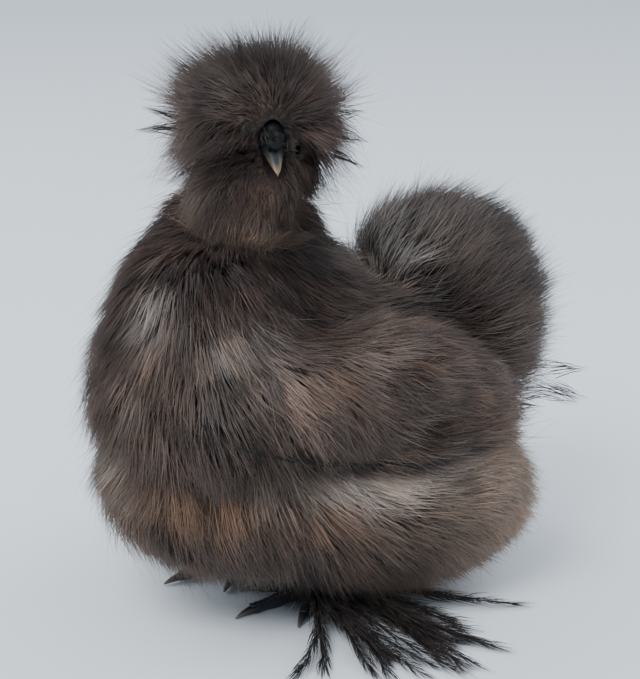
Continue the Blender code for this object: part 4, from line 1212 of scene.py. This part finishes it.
def makeVanes(foot):
    rng = np.random.default_rng(31 if foot == "left" else 47)
    count = vaneShape["vanes"]
    share = (np.arange(count) + rng.uniform(0, 0.6, count)) / count
    toeTurn = math.radians(footShape["toes"]["outer"][0])
    out = 26.0 * np.clip(1 - 2.2 * share, 0, 1)
    vane = {
        "forward": out * math.cos(toeTurn),
        "out": out * math.sin(toeTurn) + 3,
        "turn": np.radians(vaneShape["first"][foot] + 60 * share + rng.uniform(-8, 8, count)),
        "bend": np.radians(rng.uniform(-22, 22, count)),
        "length": vaneShape["length"][foot] * (0.55 + 0.45 * np.sin(math.pi * (0.1 + 0.75 * share)))
                  * rng.uniform(0.7, 1.05, count),
        "rise": rng.uniform(5, 14, count),
        "lift": rng.uniform(0, 5, count),
    }
    steps = np.array(coatShape["alongSteps"])
    shafts = np.stack([vanePoint(foot, vane, np.full(count, 0.02 + 0.9 * s)) for s in steps], 1)
    each = vaneShape["barbs"]
    which = np.repeat(np.arange(count), each)
    picked = {key: value[which] for key, value in vane.items()}
    at = np.tile((np.arange(each) + 0.5) / each, count) * 0.93 + 0.03
    root = vanePoint(foot, picked, at)
    ahead = unit(vanePoint(foot, picked, at + 0.05) - root)
    across = unit(np.cross(ahead, [0, 0, 1.0])) * np.where(rng.random(len(at)) < 0.5, 1, -1)[:, None]
    group = np.arange(len(at)) // 9
    wide = np.radians(rng.uniform(2, 26, group.max() + 1)[group] + rng.uniform(-6, 6, len(at)))
    length = vaneShape["barbLength"] * (1 - 0.35 * at) * rng.uniform(0.6, 1.25, len(at)) * mm
    rise = rng.uniform(-0.05, 0.35, len(at))
    barbs = []
    for s in steps:
        angle = (wide * (1 - 0.45 * s))[:, None]
        spot = root + (ahead * np.cos(angle) + across * np.sin(angle)) * (length * s)[:, None]
        spot[:, 2] += length * rise * s - 0.1 * length * s * s
        barbs.append(spot)
    barbs = np.stack(barbs, 1)
    number = vaneShape["fluff"]  # dark fluff that runs from the hock down over the toes
    high = rng.uniform(0.15, 1.0, number) ** 0.8
    turn = np.radians(rng.uniform(10, 190, number))
    side = 1.0 if foot == "left" else -1.0
    away = np.stack([side * np.sin(turn), -np.cos(turn), np.zeros(number)], 1)
    low, top = footPoint(foot, 0, 0, 4.0), footPoint(foot, *footShape["shankTop"])
    start = low + (top - low) * high[:, None] + away * footShape["shankRadius"] * mm
    reach = vaneShape["fluffLength"] * rng.uniform(0.6, 1.2, number) * mm
    fluff = []
    for s in steps:
        spot = start + away * (reach * s * 0.75)[:, None]
        spot[:, 2] -= reach * s * s * 0.65
        fluff.append(spot + rng.normal(0, 0.6, (number, 3)) * mm * s)
    fluff = np.stack(fluff, 1)
    paths = np.concatenate([shafts, barbs, fluff])
    width = np.concatenate([np.full(count, vaneShape["shaftWidth"]),
                            vaneShape["barbWidth"] * rng.uniform(0.6, 1.3, len(at)),
                            vaneShape["barbWidth"] * rng.uniform(0.7, 1.4, number)]) * mm
    normal = np.tile([0.0, 0.0, 1.0], (len(paths), 1))
    mix = (rng.random(len(paths)) ** 2)[:, None]
    colour = linear(vaneShape["dark"]) * (1 - mix) + linear(vaneShape["light"]) * mix
    colour[:count] = linear(vaneShape["shaftColour"])
    loosePiece("footFeathers" + foot.capitalize(), paths, normal, width, colour, footPoint(foot, 0, 10, 0),
               dampMaterial, ["foot_" + foot], (0.7, 0.5))


scutes = scuteTree()
for footName in footShape["places"]:
    makeFoot(footName, scutes)
    makeVanes(footName)

# floor, light and camera
stageSettings = {
    "floorSize": 8.0,
    "floorColour": "#ecf2f8",
    "skyColour": "#d6e0ea",
    "skyStrength": 1.1,
    "lights": [  # place, size, power
        ((0.5, -1.2, 1.6), 0.9, 26.0),
        ((-1.3, -0.6, 1.1), 1.5, 12.0),
        ((0.2, 1.4, 1.3), 1.2, 12.0),
    ],
}
floorMesh = bpy.data.meshes.new("floor")
half = stageSettings["floorSize"] / 2
floorCorners = [(-half, -half, 0), (half, -half, 0), (half, half, 0), (-half, half, 0)]
floorMesh.from_pydata(floorCorners, [], [(0, 1, 2, 3)])
floor = bpy.data.objects.new("floor", floorMesh)
bpy.context.scene.collection.objects.link(floor)
floorMaterial, _, _ = newMaterial("matt paint", Roughness=0.9,
                                  Base_Color=(*linear(stageSettings["floorColour"]), 1))
floorMesh.materials.append(floorMaterial)
world = bpy.data.worlds.new("studio")
bpy.context.scene.world = world
world.use_nodes = True
background = world.node_tree.nodes["Background"]
background.inputs["Color"].default_value = (*linear(stageSettings["skyColour"]), 1)
background.inputs["Strength"].default_value = stageSettings["skyStrength"]
for k, (spot, size, power) in enumerate(stageSettings["lights"]):
    lamp = bpy.data.lights.new("softbox" + str(k), "AREA")
    lamp.size = size
    lamp.energy = power
    lampObject = bpy.data.objects.new("softbox" + str(k), lamp)
    lampObject.location = spot
    lampObject.rotation_euler = (Vector((0, 0, 0.15)) - Vector(spot)).to_track_quat("-Z", "Y").to_euler()
    bpy.context.scene.collection.objects.link(lampObject)

cameraSettings = {
    "from": (0.85799, -0.60878, 0.48387),
    "at": (-0.02684, 0.03409, 0.12850),
    "lens": 2047 / 679 * 36,  # mm on a 36 mm sensor, whose long side is the picture's height
}
camera = bpy.data.objects.new("camera", bpy.data.cameras.new("camera"))
camera.data.lens = cameraSettings["lens"]
camera.data.sensor_width = 36
camera.location = Vector(cameraSettings["from"]) + Vector(shift)
aim = Vector(cameraSettings["at"]) - Vector(cameraSettings["from"])
camera.rotation_euler = aim.to_track_quat("-Z", "Y").to_euler()
bpy.context.scene.collection.objects.link(camera)
bpy.context.scene.camera = camera
